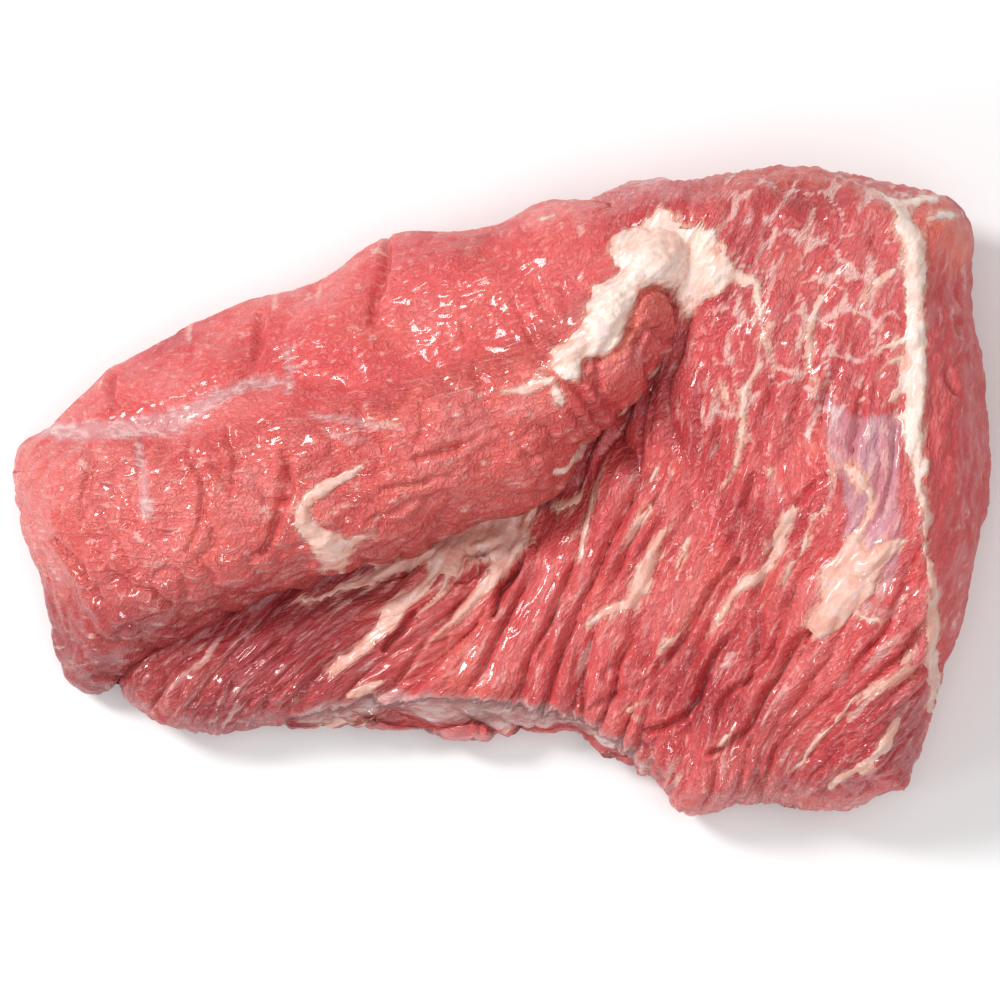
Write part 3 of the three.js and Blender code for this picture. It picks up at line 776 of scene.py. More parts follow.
def shown_of_main(starts, ends):
    shares = np.linspace(0, 1, 60)
    hidden = np.array([inside(flap_outline, blend(starts, ends, share)) for share in shares]).T
    gaps = np.array([nearest(flap_outline, blend(starts, ends, share))[0] for share in shares]).T
    deep = hidden & (gaps > COVER)
    first = np.where(deep.any(1), shares[deep.argmax(1)], 1.0)
    smooth = np.convolve(np.pad(first, 12, mode="edge"), np.ones(25) / 25, mode="valid")
    return np.clip(smooth + 0.03, 0.25, 1)


def main_body(plan, on_top):
    xy = plan.reshape(-1, 2)
    gap = np.minimum(nearest(main_front, xy)[0], nearest(main_back, xy)[0])
    top = main_height(xy) + swell(MAIN_SWELLS, xy) - 0.8
    rim = MAIN_RIM * top
    round_top = blend(MAIN_ROUND_TOP, MAIN_ROUND_THICK_END, ease(xy[:, 0], 80, 105))
    over = blend(rim, top, quarter_round(gap, round_top))
    under = blend(rim, 0, quarter_round(gap, MAIN_ROUND_UNDER))
    height = np.where(np.broadcast_to(on_top, plan.shape[:2]).ravel(), over, under)
    return np.column_stack([xy, height]).reshape(*plan.shape[:2], 3)


RINGS, OVER, UNDER = 540, 150, 26
main_plan, main_on_top = lay_rings(main_front, main_back, RINGS, OVER, UNDER, shown_of_main)
main_smooth = main_body(main_plan, main_on_top)
main_out = normals_of(main_smooth)
print("main mass:", main_smooth.shape, "facing up in the middle:", main_out[300, 70].round(2))

# %% Its relief
xy = main_smooth[:, :, :2].reshape(-1, 2)
main_grain = (across_grain(xy), run_of(main_smooth).ravel())
main_lift, main_valley = main_relief(main_smooth.reshape(-1, 3), *main_grain)
main_cuts = slit(MAIN_SLITS, xy)
torn = 1.6 * lumps(main_grain[0] / 2.4, main_grain[1] / 9, octaves=2, seed=18)
ledge = ease(stroke_depth(LEDGE, xy) + torn, -0.8, 1.2)
sinewy = 0.3 * main_lift + 0.9 * folded(xy[:, 1] / 3.4 + 0.12 * xy[:, 0], xy[:, 0] / 22, seed=19)
main_lift = blend(main_lift, sinewy, ledge) - main_cuts * (1 - ledge)
keep_flat = ease(main_smooth[:, :, 2].ravel(), 0.5, 7)
main_points = main_smooth + main_out * (main_lift * keep_flat).reshape(RINGS - 1, -1, 1)
main_drop = (LEDGE_DROP * ledge * ease(main_smooth[:, :, 2].ravel(), 9, 22)).reshape(RINGS - 1, -1, 1) * [0, 0, 1]
main_points = np.maximum(main_points - main_drop, [-1e3, -1e3, 0])
main_tips = [(*MAIN_TIPS[0], 10), (*MAIN_TIPS[1], 18)]
main_mass = closed_piece("main_mass", main_points, main_tips)
print("highest point of the main mass:", main_points[:, :, 2].max().round(1), "mm")

# %% [markdown]
# ## The flap
#
# The flap is made in the same way. Near the fold its underside lifts until it lies just inside the main
# mass, so its lip stands free there, and elsewhere it reaches down beside the main mass to the floor.

# %% Rings of the flap
FLAP_ROUND_TOP, FLAP_ROUND_UNDER = 19, 8
FLAP_RIM, FLAP_LIP = 0.42, 0.6  # the share of its height at which it is widest, on the floor and on the main mass
LAP, CLEARANCE = 3.5, 0.8  # how deep it sits in the main mass, and how high above the floor
flap_front, flap_back = curve([*FLAP_SIDE, *FOLD, FLAP_TIPS[1]], 240), curve(FLAP_BACK, 240)


def on_main(xy, far, near):
    return ease(xy[:, 0], -92, -60) * (1 - ease(nearest(fold, xy)[0], near, far))


def flap_body(plan, on_top):
    xy = plan.reshape(-1, 2)
    gap = np.minimum(nearest(flap_front, xy)[0], nearest(flap_back, xy)[0])
    top = flap_height(xy) + swell(FLAP_SWELLS, xy)
    rim = top * blend(FLAP_RIM, FLAP_LIP, on_main(xy, 25, 5))
    base = blend(CLEARANCE, main_height(xy) - LAP, on_main(xy, 26, 12))
    over = blend(rim, top, quarter_round(gap, FLAP_ROUND_TOP))
    under = blend(rim, base, quarter_round(gap, FLAP_ROUND_UNDER))
    height = np.where(np.broadcast_to(on_top, plan.shape[:2]).ravel(), over, under)
    return np.column_stack([xy, height]).reshape(*plan.shape[:2], 3)


FLAP_RINGS, FLAP_OVER, FLAP_UNDER = 330, 225, 45
flap_plan, flap_on_top = lay_rings(
    flap_front, flap_back, FLAP_RINGS, FLAP_OVER, FLAP_UNDER, lambda starts, ends: np.full(len(starts), 0.999)
)
flap_smooth = flap_body(flap_plan, flap_on_top)
flap_out = normals_of(flap_smooth)
print("flap:", flap_smooth.shape)

# %% Its relief
CREST_LENGTH = 190
xy = flap_smooth[:, :, :2].reshape(-1, 2)
gap, share, side = nearest(crest, xy)
flap_grain = (gap * side, share * CREST_LENGTH)
flap_lift, flap_valley = flap_relief(flap_smooth.reshape(-1, 3), *flap_grain)
flap_cuts = slit(FLAP_SLITS, xy)
flap_lift = flap_lift - flap_cuts
keep_flat = ease(flap_smooth[:, :, 2].ravel(), 1, 7)
flap_points = flap_smooth + flap_out * (flap_lift * keep_flat).reshape(FLAP_RINGS - 1, -1, 1)
flap_tips = [(*FLAP_TIPS[0], 15), (*FLAP_TIPS[1], 28)]
folded_flap = closed_piece("folded_flap", flap_points, flap_tips)
print("highest point of the flap:", flap_points[:, :, 2].max().round(1), "mm")

# %% [markdown]
# ## Fat as a shape
#
# Fat lies on the meat and fills its valleys, and it has its own soft glow, so it is a piece of its own.
# It could be painted onto the meat, but then it would have no thickness. So it is cut from the same rings:
# wherever a place is inside a patch or a stroke, a softened copy of the meat's surface is lifted by the
# fat's thickness. Around its edge it dives under the meat, so that the bundles bite into its outline.

# %% How fat is cut from rings
DIVE, PROUD, FULL_DEPTH = -1.4, 0.12, 4.2  # height outside the outline and at it, and where it is thickest
LEAST_DEPTH = -1.2  # how far outside its outline the fat goes on, under the meat
FOLLOWS = 0.88  # how much of the meat's relief shows through the fat


def ragged(depth, grain, place):
    """A depth whose zero line frays along the grain."""
    across, along = grain
    x, y, z = place.T
    frayed = 0.6 * lumps(across / 1.8, along / 5, z / 5, octaves=2, seed=21)
    return depth + frayed + 0.25 * lumps(x, y, z, seed=22)


def shown_only(depth, on_top, rings):
    return np.where(np.broadcast_to(on_top, rings.shape[:2]).ravel(), depth, -FAR)


def fat_from(base, out, depth, thickest):
    """Points and faces of the fat over some rings, and the numbers of the ring points that it uses."""
    place = base.reshape(-1, 3)
    thick = blend(DIVE, PROUD, ease(depth, -0.6, 0)) + thickest * ease(depth, -0.3, FULL_DEPTH)
    knobbly = 0.2 * lumps(*turned(place, 4.4), octaves=2, seed=23) + 0.1 * folded(*turned(place, 2.6), seed=24)
    points = place + out.reshape(-1, 3) * (thick + ease(depth, 0, 3) * knobbly * thickest)[:, None]
    quads = quads_of(*base.shape[:2])
    quads = quads[(depth[quads] > LEAST_DEPTH).all(1)]
    used, quads = np.unique(quads, return_inverse=True)
    return points[used], quads.reshape(-1, 4), used


# %% Cutting it
main_place = main_smooth.reshape(-1, 3)
flap_place = flap_smooth.reshape(-1, 3)
main_fat = ragged(depth_of(MAIN_FAT_PATCHES, MAIN_FAT_STROKES, main_place[:, :2]), main_grain, main_place)
main_fat = shown_only(main_fat, main_on_top, main_smooth) - 1.2 * main_cuts * ease(main_cuts, 0.3, 1)
flap_fat = ragged(depth_of(FLAP_FAT_PATCHES, FLAP_FAT_STROKES, flap_place[:, :2]), flap_grain, flap_place)
flap_fat = shown_only(flap_fat, flap_on_top, flap_smooth)
main_thick = blend(0.8, 0.45, ease(main_place[:, 0], 96, 100))
flap_thick = blend(0.7, 1.3, ease(flap_place[:, 0], 2, 14))
main_cut = fat_from(blend(main_smooth - main_drop, main_points, FOLLOWS), main_out, main_fat, main_thick)
flap_cut = fat_from(blend(flap_smooth, flap_points, FOLLOWS), flap_out, flap_fat, flap_thick)
fat_quads = np.vstack([main_cut[1], flap_cut[1] + len(main_cut[0])])
seam_fat = piece_of("seam_fat", np.vstack([main_cut[0], flap_cut[0]]), fat_quads.tolist())
print("fat:", len(seam_fat.data.polygons), "faces")

# %% [markdown]
# ## What the materials need to know
#
# A shader sees one point at a time. It doesn't know where the thin end is, or how deep inside the film a
# place lies. A picture could be painted for that, but it has to be unwrapped, and it blurs close up. So such
# numbers are worked out here and kept on the points: tone, marbling, painted shade and sheen, wetness, and depth in
# a film.

# %% Tones, marbling and sinew
# Slits get painted shade: the deeper a slit, the darker its colour.
SLIT_SHADE_DEPTH = 3  # millimetres; a slit this deep is as dark as slits get


def keep(piece, **values):
    """Store numbers on a piece. The two tips come after the rings and take the value of their neighbour."""
    store(piece, **{name: np.concatenate([value, value[[0, -1]]]) for name, value in values.items()})


def tones(grain, place):
    """Broad changes of colour, and pale and dark strands along the grain, each from -1 to 1."""
    across, along = grain
    tone = lumps(*turned(place, 20), octaves=4, seed=41) / 1.3
    strand = lumps(across / 3.2, along / 19, place[:, 2] / 12, octaves=3, seed=42) / 1.4
    return np.clip(tone, -1, 1), np.clip(strand, -1, 1)


def web(place):
    """Marbling: a net of fat between coarse grains of meat, -1 far from it and 1 in it."""
    x, y, z = place.T
    x = x + 2.2 * lumps(x / 6, y / 6, z / 6, octaves=2, seed=43)
    y = y + 2.2 * lumps(x / 6, y / 6, z / 6 + 9, octaves=2, seed=44)
    border, _ = cells(x / 8.5, y / 10.5, seed=45)
    gap = ease(lumps(x / 7, y / 7, z / 7, seed=46), -0.35, 0.55)
    return 1 - 2 * np.clip(border / (0.04 + 0.26 * gap), 0, 1)


def flecks(grain, place):
    """Depth inside thin lenses of sinew that lie along the grain, in some of the cells."""
    across, along = grain
    border, number = cells(across / 2.3 + 0.5 * lumps(along / 9, across / 5, seed=31), along / 19, seed=32)
    area = lumps(*turned(place, 16), octaves=2, seed=33)
    return np.where(number > 0.9 - 0.15 * area, 2.0 * (border - 0.45), -FAR)


def near(points, width, xy):
    return bell(nearest(curve(points, 24), xy)[0], width)


def warm_areas(place, seed):
    return ease(lumps(*turned(place, 13), octaves=2, seed=seed), 0.15, 1.0)


print("marbling at two places:", web(np.array([[80.0, 40, 50], [84, 44, 50]])).round(2))

# %% Painted shade of the main mass, and where it is warm and dull
# BOWL and FRONT_DIP mark dips that get painted shade; CORNER, BACK_EDGE and RED_STREAK mark warmer meat.
BOWL, FRONT_DIP = [(75, 72.5), (79, 72), (83, 72.5)], [(54, -56), (63, -63), (72, -66)]
CORNER, BACK_EDGE = [(101, 74), (110, 68), (116, 60)], [(52, 80), (75, 79), (95, 78)]
RED_STREAK = [(-12, -40), (-8, -50)]
VEIN = [(11.5, -3, 1.2), (14, 0.5, 1.9), (17, 3, 1.3)]

xy = main_place[:, :2]
x, y, z = main_place.T
in_thick_top = ease(y, 4, 20) * ease(x, 48, 60) * (1 - ease(x, 103, 107))
wall = ease(x, 106, 111)
thin_end = (1 - ease(x, -45, -8)) * (1 - 0.5 * ease(-y, 36, 58))
beside_fold = bell(nearest(fold, xy)[0], 3.5)
# A painted shadow under the torn bundle ends, where the front edge drops to the ledge.
ledge_painted_shadow = 4 * ledge * (1 - ledge)
# Painted shade: the thin end under the flap, the crevice beside the fold, slits and the ledge are made darker.
main_painted_shade = 1.1 * thin_end + 0.6 * beside_fold + 0.35 * np.clip(main_cuts / SLIT_SHADE_DEPTH, 0, 1) + 0.35 * ledge_painted_shadow
# More painted shade in the dip of the bowl and in the front dip.
main_painted_shade += 0.35 * near(BOWL, 5, xy) * (1 + lumps(*turned(main_place, 3), seed=47))
main_painted_shade += 0.35 * near(FRONT_DIP, 9, xy)
main_warm = near(CORNER, 7, xy) + 0.45 * warm_areas(main_place, 34) * (1 - wall)
main_warm = main_warm + 0.9 * near(RED_STREAK, 6, xy) + 0.6 * near(BACK_EDGE, 5, xy)
torn_below = (1 - ease(z, 10, 24)) * (4 * lumps(*turned(main_place, 11), octaves=2, seed=36) - 1.5)
main_film = depth_of(MAIN_FILM_PATCHES, MAIN_FILM_STROKES, xy) + torn_below
print("dark share of the main mass:", (main_painted_shade > 0.5).mean().round(2))

# %% Keeping the numbers of the main mass
main_tone, main_strand = tones(main_grain, main_place)
on_ledge = ledge > 0.5
grain_ways = np.column_stack([*main_grain, z])
grain_ways[on_ledge] = np.column_stack([1.2 * y, x, z])[on_ledge]
# valley, dark and proud feed painted shade and painted sheen in the material.
keep(
    main_mass,
    grain=grain_ways, wrinkles=MM * np.column_stack([main_grain[0], 0.45 * main_grain[1], z]),
    fat=np.clip(main_fat, -FAR, FAR), film=np.clip(main_film, -FAR, FAR), cover=blend(0.6, 0.95, ledge),
    valley=np.clip(main_valley, 0, 1), tone=main_tone, strand=main_strand, proud=ease(main_lift, 0.2, 2.4),
    sinew=np.where(wall > 0, -FAR, flecks(main_grain, main_place)),
    web=blend(-1, web(main_place), in_thick_top), dark=np.clip(main_painted_shade, 0, 1), warm=np.clip(main_warm, 0, 1),
    vein=ease(stroke_depth(VEIN, xy), -0.6, 0.3), dull=np.clip(0.8 * in_thick_top + 0.9 * wall, 0, 1),
    dry=0.35 * in_thick_top + 0.9 * wall, violet=ease(x, 70, 76) * ease(y, -28, -20),
    streaky=1 - 0.65 * np.maximum(0.7 * in_thick_top, 1.3 * wall),
)
print("kept on the main mass:", len(main_mass.data.attributes), "attributes")

# %% Painted shade and sheen of the flap, and where it is warm
ROLLED_END, KNOB = [(20, 18), (31, 29), (40, 39)], [(40, 44), (44, 43)]
NOTCH = [(29, 31), (33, 37), (34, 44), (38, 49), (44, 48)]

xy = flap_place[:, :2]
flap_across = flap_grain[0]
slab = ease(flap_across, 2, 13)
rolled_end = near(ROLLED_END, 6.5, xy)
flap_tone, flap_strand = tones(flap_grain, flap_place)
# The flap's tone gets a painted sheen along the crest. The rolled end is made darker: partly darker meat, partly
# painted shade.
flap_tone = np.clip(0.7 * flap_tone + 0.25 + 0.4 * bell(flap_across + 4, 12) - 0.4 * rolled_end, -1, 1)
# Painted shade on the flap: the lower front of the roll, the sides near the floor, and the slits.
flap_painted_shade = 0.85 * ease(-flap_across, 17, 42) + 0.45 * (1 - ease(flap_place[:, 2], 6, 26))
flap_painted_shade = flap_painted_shade + 0.35 * np.clip(flap_cuts / SLIT_SHADE_DEPTH, 0, 1)
flap_warm = near(NOTCH, 2.2, xy) + 0.3 * (1 - slab) * (1 - rolled_end)
flap_warm = flap_warm + 0.8 * near(KNOB, 3.2, xy) + 0.3 * warm_areas(flap_place, 35)
flap_film = depth_of([], FLAP_FILM_STROKES, xy)
dot_border, dot = cells(*turned(flap_place, 2.8)[:2], seed=48)
print("dark share of the flap:", (flap_painted_shade > 0.5).mean().round(2))

# %% Keeping the numbers of the flap
none = np.zeros(len(xy))
# valley, dark and proud feed painted shade and painted sheen in the material.
keep(
    folded_flap,
    grain=np.column_stack([flap_across, blend(1.3, 2.3, slab) * flap_grain[1], flap_place[:, 2]]),
    wrinkles=MM * flap_place * [0.85, 0.7, 0.8],
    fat=np.clip(flap_fat, -FAR, FAR), film=np.clip(flap_film, -FAR, FAR), cover=none + 0.7,
    valley=np.clip(flap_valley, 0, 1), tone=flap_tone, strand=0.3 * flap_strand, proud=ease(flap_lift, 0.2, 2.4),
    sinew=np.where(dot > 0.94, 2.0 * (dot_border - 0.6), -FAR), web=none - 1, dark=np.clip(flap_painted_shade, 0, 1),
    warm=np.clip(flap_warm, 0, 1), vein=none, dull=none, dry=0.55 * slab, violet=none + 0.3, streaky=none + 0.4,
)
print("kept on the flap:", len(folded_flap.data.attributes), "attributes")

# %% Keeping the numbers of the fat
on_rim = ease(x, 99, 102) * ease(y, -8, 4)
main_blush = blend(0.9 - 0.7 * ease(y, 32, 42), 0.05, on_rim)
flap_blush = 0.9 * (1 - ease(flap_place[:, 0], 2, 14)) + 0.35 * ease(flap_place[:, 1], 52, 62)
# Painted shade on the fat: near the fold and at the thin end under the flap.
main_shade = np.clip(0.15 * thin_end + 0.3 * beside_fold, 0, 1)


def joined(of_main, of_flap):
    """Numbers of the two masses at the points that the fat took from them."""
    return np.concatenate([of_main[main_cut[2]], of_flap[flap_cut[2]]])


store(
    seam_fat,
    grain=joined(np.column_stack([*main_grain, z]), np.column_stack([*flap_grain, flap_place[:, 2]])),
    fat=joined(main_fat, flap_fat), dark=joined(main_shade, none), blush=joined(main_blush, flap_blush),
)
print("kept on the fat:", len(seam_fat.data.attributes), "attributes")

# %% [markdown]
# ## Node groups
#
# Grain, wetness and ragged outlines are needed by the meat and by the fat. They could be copied into both
# materials, but then each change has to be made twice. So each is built once, as a group with named sockets.
# A group gives out masks, colours and heights. The shader stays in each material.

# %% Helpers for nodes
VECTOR, FLOAT = "NodeSocketVector", "NodeSocketFloat"


def fill(tree, socket, value):
    """Link a socket to another, or set its own value."""
    if isinstance(value, bpy.types.NodeSocket):
        tree.links.new(value, socket)
    else:
        socket.default_value = value


def node(tree, kind, inputs=(), **settings):
    made = tree.nodes.new(kind)
    for name, value in settings.items():
        setattr(made, name, value)
    for key, value in dict(inputs).items():
        fill(tree, made.inputs[key], value)
    return made


def calc(tree, operation, *values):
    return node(tree, "ShaderNodeMath", enumerate(values), operation=operation).outputs[0]


def times(tree, a, b):
    return calc(tree, "MULTIPLY", a, b)


def ramp(tree, value, low, high, start=0.0, end=1.0):
    """A value stretched from low..high to start..end, with soft ends."""
    inputs = {"Value": value, "From Min": low, "From Max": high, "To Min": start, "To Max": end}
    return node(tree, "ShaderNodeMapRange", inputs, interpolation_type="SMOOTHSTEP").outputs[0]


def mixed(tree, share, a, b):
    """A share of colour b over colour a."""
    a, b = (value if isinstance(value, bpy.types.NodeSocket) else (*value, 1) for value in (a, b))
    return node(tree, "ShaderNodeMix", {0: share, 6: a, 7: b}, data_type="RGBA").outputs[2]


def noise(tree, vector, scale, detail, roughness=0.5, distortion=0.0):
    inputs = {"Vector": vector, "Scale": scale, "Detail": detail, "Roughness": roughness, "Distortion": distortion}
    return node(tree, "ShaderNodeTexNoise", inputs).outputs[0]


def stored(tree, name, vector=False):
    return node(tree, "ShaderNodeAttribute", attribute_name=name).outputs["Vector" if vector else "Fac"]


def new_group(name, inputs, outputs):
    """An empty group with its named sockets: the tree, what it is given, and what it gives out."""
    tree = bpy.data.node_groups.new(name, "ShaderNodeTree")
    for socket, kind, value in inputs:
        made = tree.interface.new_socket(socket, in_out="INPUT", socket_type=kind)
        if value is not None:
            made.default_value = value
    for socket in outputs:
        tree.interface.new_socket(socket, in_out="OUTPUT", socket_type=FLOAT)
    return tree, tree.nodes.new("NodeGroupInput").outputs, tree.nodes.new("NodeGroupOutput").inputs


def use(tree, group, inputs):
    made = node(tree, "ShaderNodeGroup", node_tree=group)
    for name, value in inputs.items():
        fill(tree, made.inputs[name], value)
    return made.outputs


# %% Grain
grain_group, given, out = new_group(
    "Meat grain",
    [("Grain", VECTOR, None), ("Fibre Width", FLOAT, 0.7), ("Fibre Length", FLOAT, 9.0)],
    ["Height", "Streaks"],
)
split = node(grain_group, "ShaderNodeSeparateXYZ", {0: given["Grain"]}).outputs
fibre = node(grain_group, "ShaderNodeCombineXYZ", {
    0: calc(grain_group, "DIVIDE", split[0], given["Fibre Width"]),
    1: calc(grain_group, "DIVIDE", split[1], given["Fibre Length"]),
    2: calc(grain_group, "DIVIDE", split[2], 3.0),
}).outputs[0]
fine = noise(grain_group, fibre, 0.6, 3.0, 0.6)
grain_group.links.new(fine, out["Height"])
grain_group.links.new(ramp(grain_group, fine, 0.36, 0.66), out["Streaks"])

# %% Wrinkles and pools of the wet surface
POOLS_PER_METRE = 170.0
wet_group, given, out = new_group(
    "Wet film",
    [("Place", VECTOR, None), ("Wrinkle Size", FLOAT, 1.3), ("Drier", FLOAT, 0.0)],
    ["Height", "Roughness", "Coat"],
)
per_metre = calc(wet_group, "DIVIDE", 1000.0, given["Wrinkle Size"])
wrinkle = noise(wet_group, given["Place"], per_metre, 2.0)
beside_crease = calc(wet_group, "ABSOLUTE", calc(wet_group, "SUBTRACT", wrinkle, 0.5))
wet_group.links.new(ramp(wet_group, beside_crease, 0.0, 0.17), out["Height"])
pools = noise(wet_group, given["Place"], POOLS_PER_METRE, 1.0)
rough = calc(
    wet_group, "ADD", ramp(wet_group, pools, 0.35, 0.62, 0.44, 0.25), times(wet_group, given["Drier"], 0.22)
)
shine = calc(
    wet_group, "SUBTRACT", ramp(wet_group, pools, 0.32, 0.55, 0.45, 1.0), times(wet_group, given["Drier"], 0.45)
)
wet_group.links.new(rough, out["Roughness"])
wet_group.links.new(shine, out["Coat"])

# %% Ragged outlines
edge_group, given, out = new_group(
    "Ragged edge",
    [("Depth", FLOAT, 0.0), ("Fray", FLOAT, 0.5), ("Raggedness", FLOAT, 1.0), ("Feather", FLOAT, 0.4)],
    ["Mask"],
)
off_middle = calc(edge_group, "SUBTRACT", given["Fray"], 0.5)
frayed = times(edge_group, off_middle, times(edge_group, given["Raggedness"], 4.0))
moved = calc(edge_group, "ADD", given["Depth"], frayed)
feathered = calc(edge_group, "DIVIDE", moved, given["Feather"])
edge_group.links.new(ramp(edge_group, feathered, -1.0, 1.0), out["Mask"])
print("groups:", [group.name for group in bpy.data.node_groups])

# %% [markdown]
# ## Wet lean meat
#
# Raw beef lets in a little light and is covered with juice. One flat red with a shine would look like wax.
# So its own colours are laid over each other as a butcher would name them: deep red to rosy meat, orange where
# it has met the air, pale and dark strands. Over them go painted shade in valleys, creases and slits, and painted
# sheen on raised tops, and then sinew, film and fat over all of them.

# %% Colours of meat
DARK, CRIMSON, RED, SCARLET = (0.24, 0.012, 0.018), (0.47, 0.036, 0.044), (0.68, 0.080, 0.083), (0.77, 0.118, 0.104)
ROSE, BLUSH, ORANGE, DUSKY = (0.81, 0.198, 0.190), (0.87, 0.37, 0.34), (0.83, 0.175, 0.110), (0.59, 0.080, 0.086)
CREAM, PINK_CREAM, MARBLE = (0.92, 0.74, 0.645), (0.75, 0.365, 0.28), (0.86, 0.56, 0.50)
GREY, MILKY, LILAC, PLUM = (0.54, 0.30, 0.27), (0.72, 0.59, 0.58), (0.50, 0.34, 0.44), (0.055, 0.006, 0.010)
WARP = (0.0025,) * 3  # metres that the fibres push the wrinkles about

lean = bpy.data.materials.new("wet_lean_meat")
lean.use_nodes = True
tree = lean.node_tree
shader = tree.nodes["Principled BSDF"]
grain = stored(tree, "grain", vector=True)
fibres = use(tree, grain_group, {"Grain": grain, "Fibre Width": 0.8, "Fibre Length": 4.5})
warped = node(
    tree, "ShaderNodeVectorMath", {0: fibres["Height"], 1: WARP, 2: stored(tree, "wrinkles", vector=True)},
    operation="MULTIPLY_ADD",
).outputs[0]
wet = use(tree, wet_group, {"Place": warped, "Wrinkle Size": 1.35, "Drier": stored(tree, "dry")})
tone, strand, streaks = stored(tree, "tone"), stored(tree, "strand"), fibres["Streaks"]
streaky, valley = stored(tree, "streaky"), stored(tree, "valley")
colour = CRIMSON
for share, paint in (
    (ramp(tree, tone, -0.65, 0.0), RED),
    (ramp(tree, tone, -0.1, 0.35, 0.0, 0.5), SCARLET),
    (ramp(tree, tone, 0.15, 0.75, 0.0, 0.8), ROSE),
    (times(tree, stored(tree, "dull"), 0.8), DUSKY),
    (times(tree, stored(tree, "warm"), ramp(tree, strand, -0.6, 0.6, 0.3, 0.9)), ORANGE),
    (times(tree, streaky, ramp(tree, strand, 0.1, 0.8, 0.0, 0.24)), BLUSH),
    (times(tree, streaky, ramp(tree, strand, -0.1, -0.7, 0.0, 0.4)), CRIMSON),
    (times(tree, streaky, ramp(tree, streaks, 0.5, 1.0, 0.0, 0.18)), BLUSH),
    (times(tree, streaky, ramp(tree, streaks, 0.45, 0.0, 0.0, 0.22)), CRIMSON),
    # painted sheen: raised bundle tops are made paler and pinker
    (times(tree, stored(tree, "proud"), 0.15), ROSE),
    # painted shade: valleys between bundles and creases of the roll are made darker
    (times(tree, valley, 0.75), CRIMSON),
    (ramp(tree, valley, 0.4, 1.0, 0.0, 0.45), DARK),
    # painted shade in the fine wet creases, and a painted highlight on the ridges between them
    (ramp(tree, wet["Height"], 0.35, 0.0, 0.0, 0.2), CRIMSON),
    (ramp(tree, wet["Height"], 0.6, 0.96, 0.0, 0.12), BLUSH),
    # painted shade from the stored dark number: under the flap, by the fold, on the roll's front, in slits and dips
    (times(tree, stored(tree, "dark"), 0.75), DARK),
):
    colour = mixed(tree, share, colour, paint)
print("colours of the meat itself:", len(tree.nodes), "nodes")

# %% What lies over it


def masked(name, raggedness, feather):
    inputs = {"Depth": stored(tree, name), "Fray": fibres["Height"], "Raggedness": raggedness, "Feather": feather}
    return use(tree, edge_group, inputs)["Mask"]


film_colour = mixed(tree, stored(tree, "violet"), GREY, LILAC)
film_colour = mixed(tree, ramp(tree, streaks, 0.25, 0.9, 0.15, 0.9), film_colour, MILKY)
film = times(tree, masked("film", 0.7, 1.3), stored(tree, "cover"))
for share, paint in (
    (times(tree, masked("web", 1.3, 0.7), 0.7), MARBLE),
    (times(tree, masked("sinew", 0.8, 0.7), 0.55), MARBLE),
    (times(tree, film, ramp(tree, strand, -0.6, 0.4, 0.6, 1.0)), film_colour),
    (masked("fat", 1.6, 1.1), PINK_CREAM),
    (stored(tree, "vein"), PLUM),
):
    colour = mixed(tree, share, colour, paint)
tree.links.new(colour, shader.inputs["Base Color"])
print("with marbling, film, fat and a vein:", len(tree.nodes), "nodes")

# %% Its wet shine, its glow and its fine relief
tree.links.new(wet["Roughness"], shader.inputs["Roughness"])
facing = node(tree, "ShaderNodeLayerWeight", {"Blend": 0.5}).outputs["Facing"]
less_at_edges = ramp(tree, facing, 0.45, 0.85, 1.0, 0.15)
tree.links.new(times(tree, wet["Coat"], less_at_edges), shader.inputs["Coat Weight"])
smoother = calc(tree, "MAXIMUM", film, stored(tree, "dry"))
creases = times(tree, wet["Height"], ramp(tree, smoother, 0.2, 0.9, 0.42, 0.14))
relief = calc(tree, "ADD", times(tree, fibres["Height"], 0.65), creases)
bump = node(tree, "ShaderNodeBump", {"Height": relief, "Strength": 1.0, "Distance": 0.0008})
tree.links.new(bump.outputs[0], shader.inputs["Normal"])


def set_all(shader, **values):
    """Constants, each straight on its own socket of the shader."""
    shader.subsurface_method = "BURLEY"  # nearly as soft as a random walk, and a third quicker
    for name, value in values.items():
        shader.inputs[name.replace("_", " ")].default_value = value


set_all(
    shader, Coat_Roughness=0.085, Coat_IOR=1.38, IOR=1.4,
    Subsurface_Weight=0.2, Subsurface_Radius=(1.0, 0.25, 0.18), Subsurface_Scale=0.0015,
)
for piece in (main_mass, folded_flap):
    piece.data.materials.append(lean)

# %% [markdown]
# ## Fat as a finish
#
# Trimmed beef fat is cream where it is thick, and pink where the meat shines through a thin layer. It is
# soft and lumpy, less glossy than the meat, and light goes further into it. A plain cream would look like
# plaster, so thin spots, fine streaks and shade near the fold break it up.

# %% The fat material
THIN_SPOTS_PER_METRE = 120.0
fat = bpy.data.materials.new("cream_fat")
fat.use_nodes = True
tree = fat.node_tree
shader = tree.nodes["Principled BSDF"]
place = node(tree, "ShaderNodeTexCoord").outputs["Object"]
grain = stored(tree, "grain", vector=True)
fibres = use(tree, grain_group, {"Grain": grain, "Fibre Width": 0.9, "Fibre Length": 2.5})
streaks = fibres["Streaks"]
wet = use(tree, wet_group, {"Place": place, "Wrinkle Size": 2.6, "Drier": 0.4})
thick = use(tree, edge_group, {
    "Depth": calc(tree, "SUBTRACT", stored(tree, "fat"), 0.5),
    "Fray": fibres["Height"], "Raggedness": 1.6, "Feather": 1.1,
})["Mask"]
thin_spots = ramp(tree, noise(tree, place, THIN_SPOTS_PER_METRE, 3.0, 0.6, 0.5), 0.42, 0.66, 0.0, 0.4)
blush = calc(tree, "ADD", thin_spots, times(tree, stored(tree, "blush"), 0.7))
colour = mixed(tree, thick, PINK_CREAM, mixed(tree, blush, CREAM, PINK_CREAM))
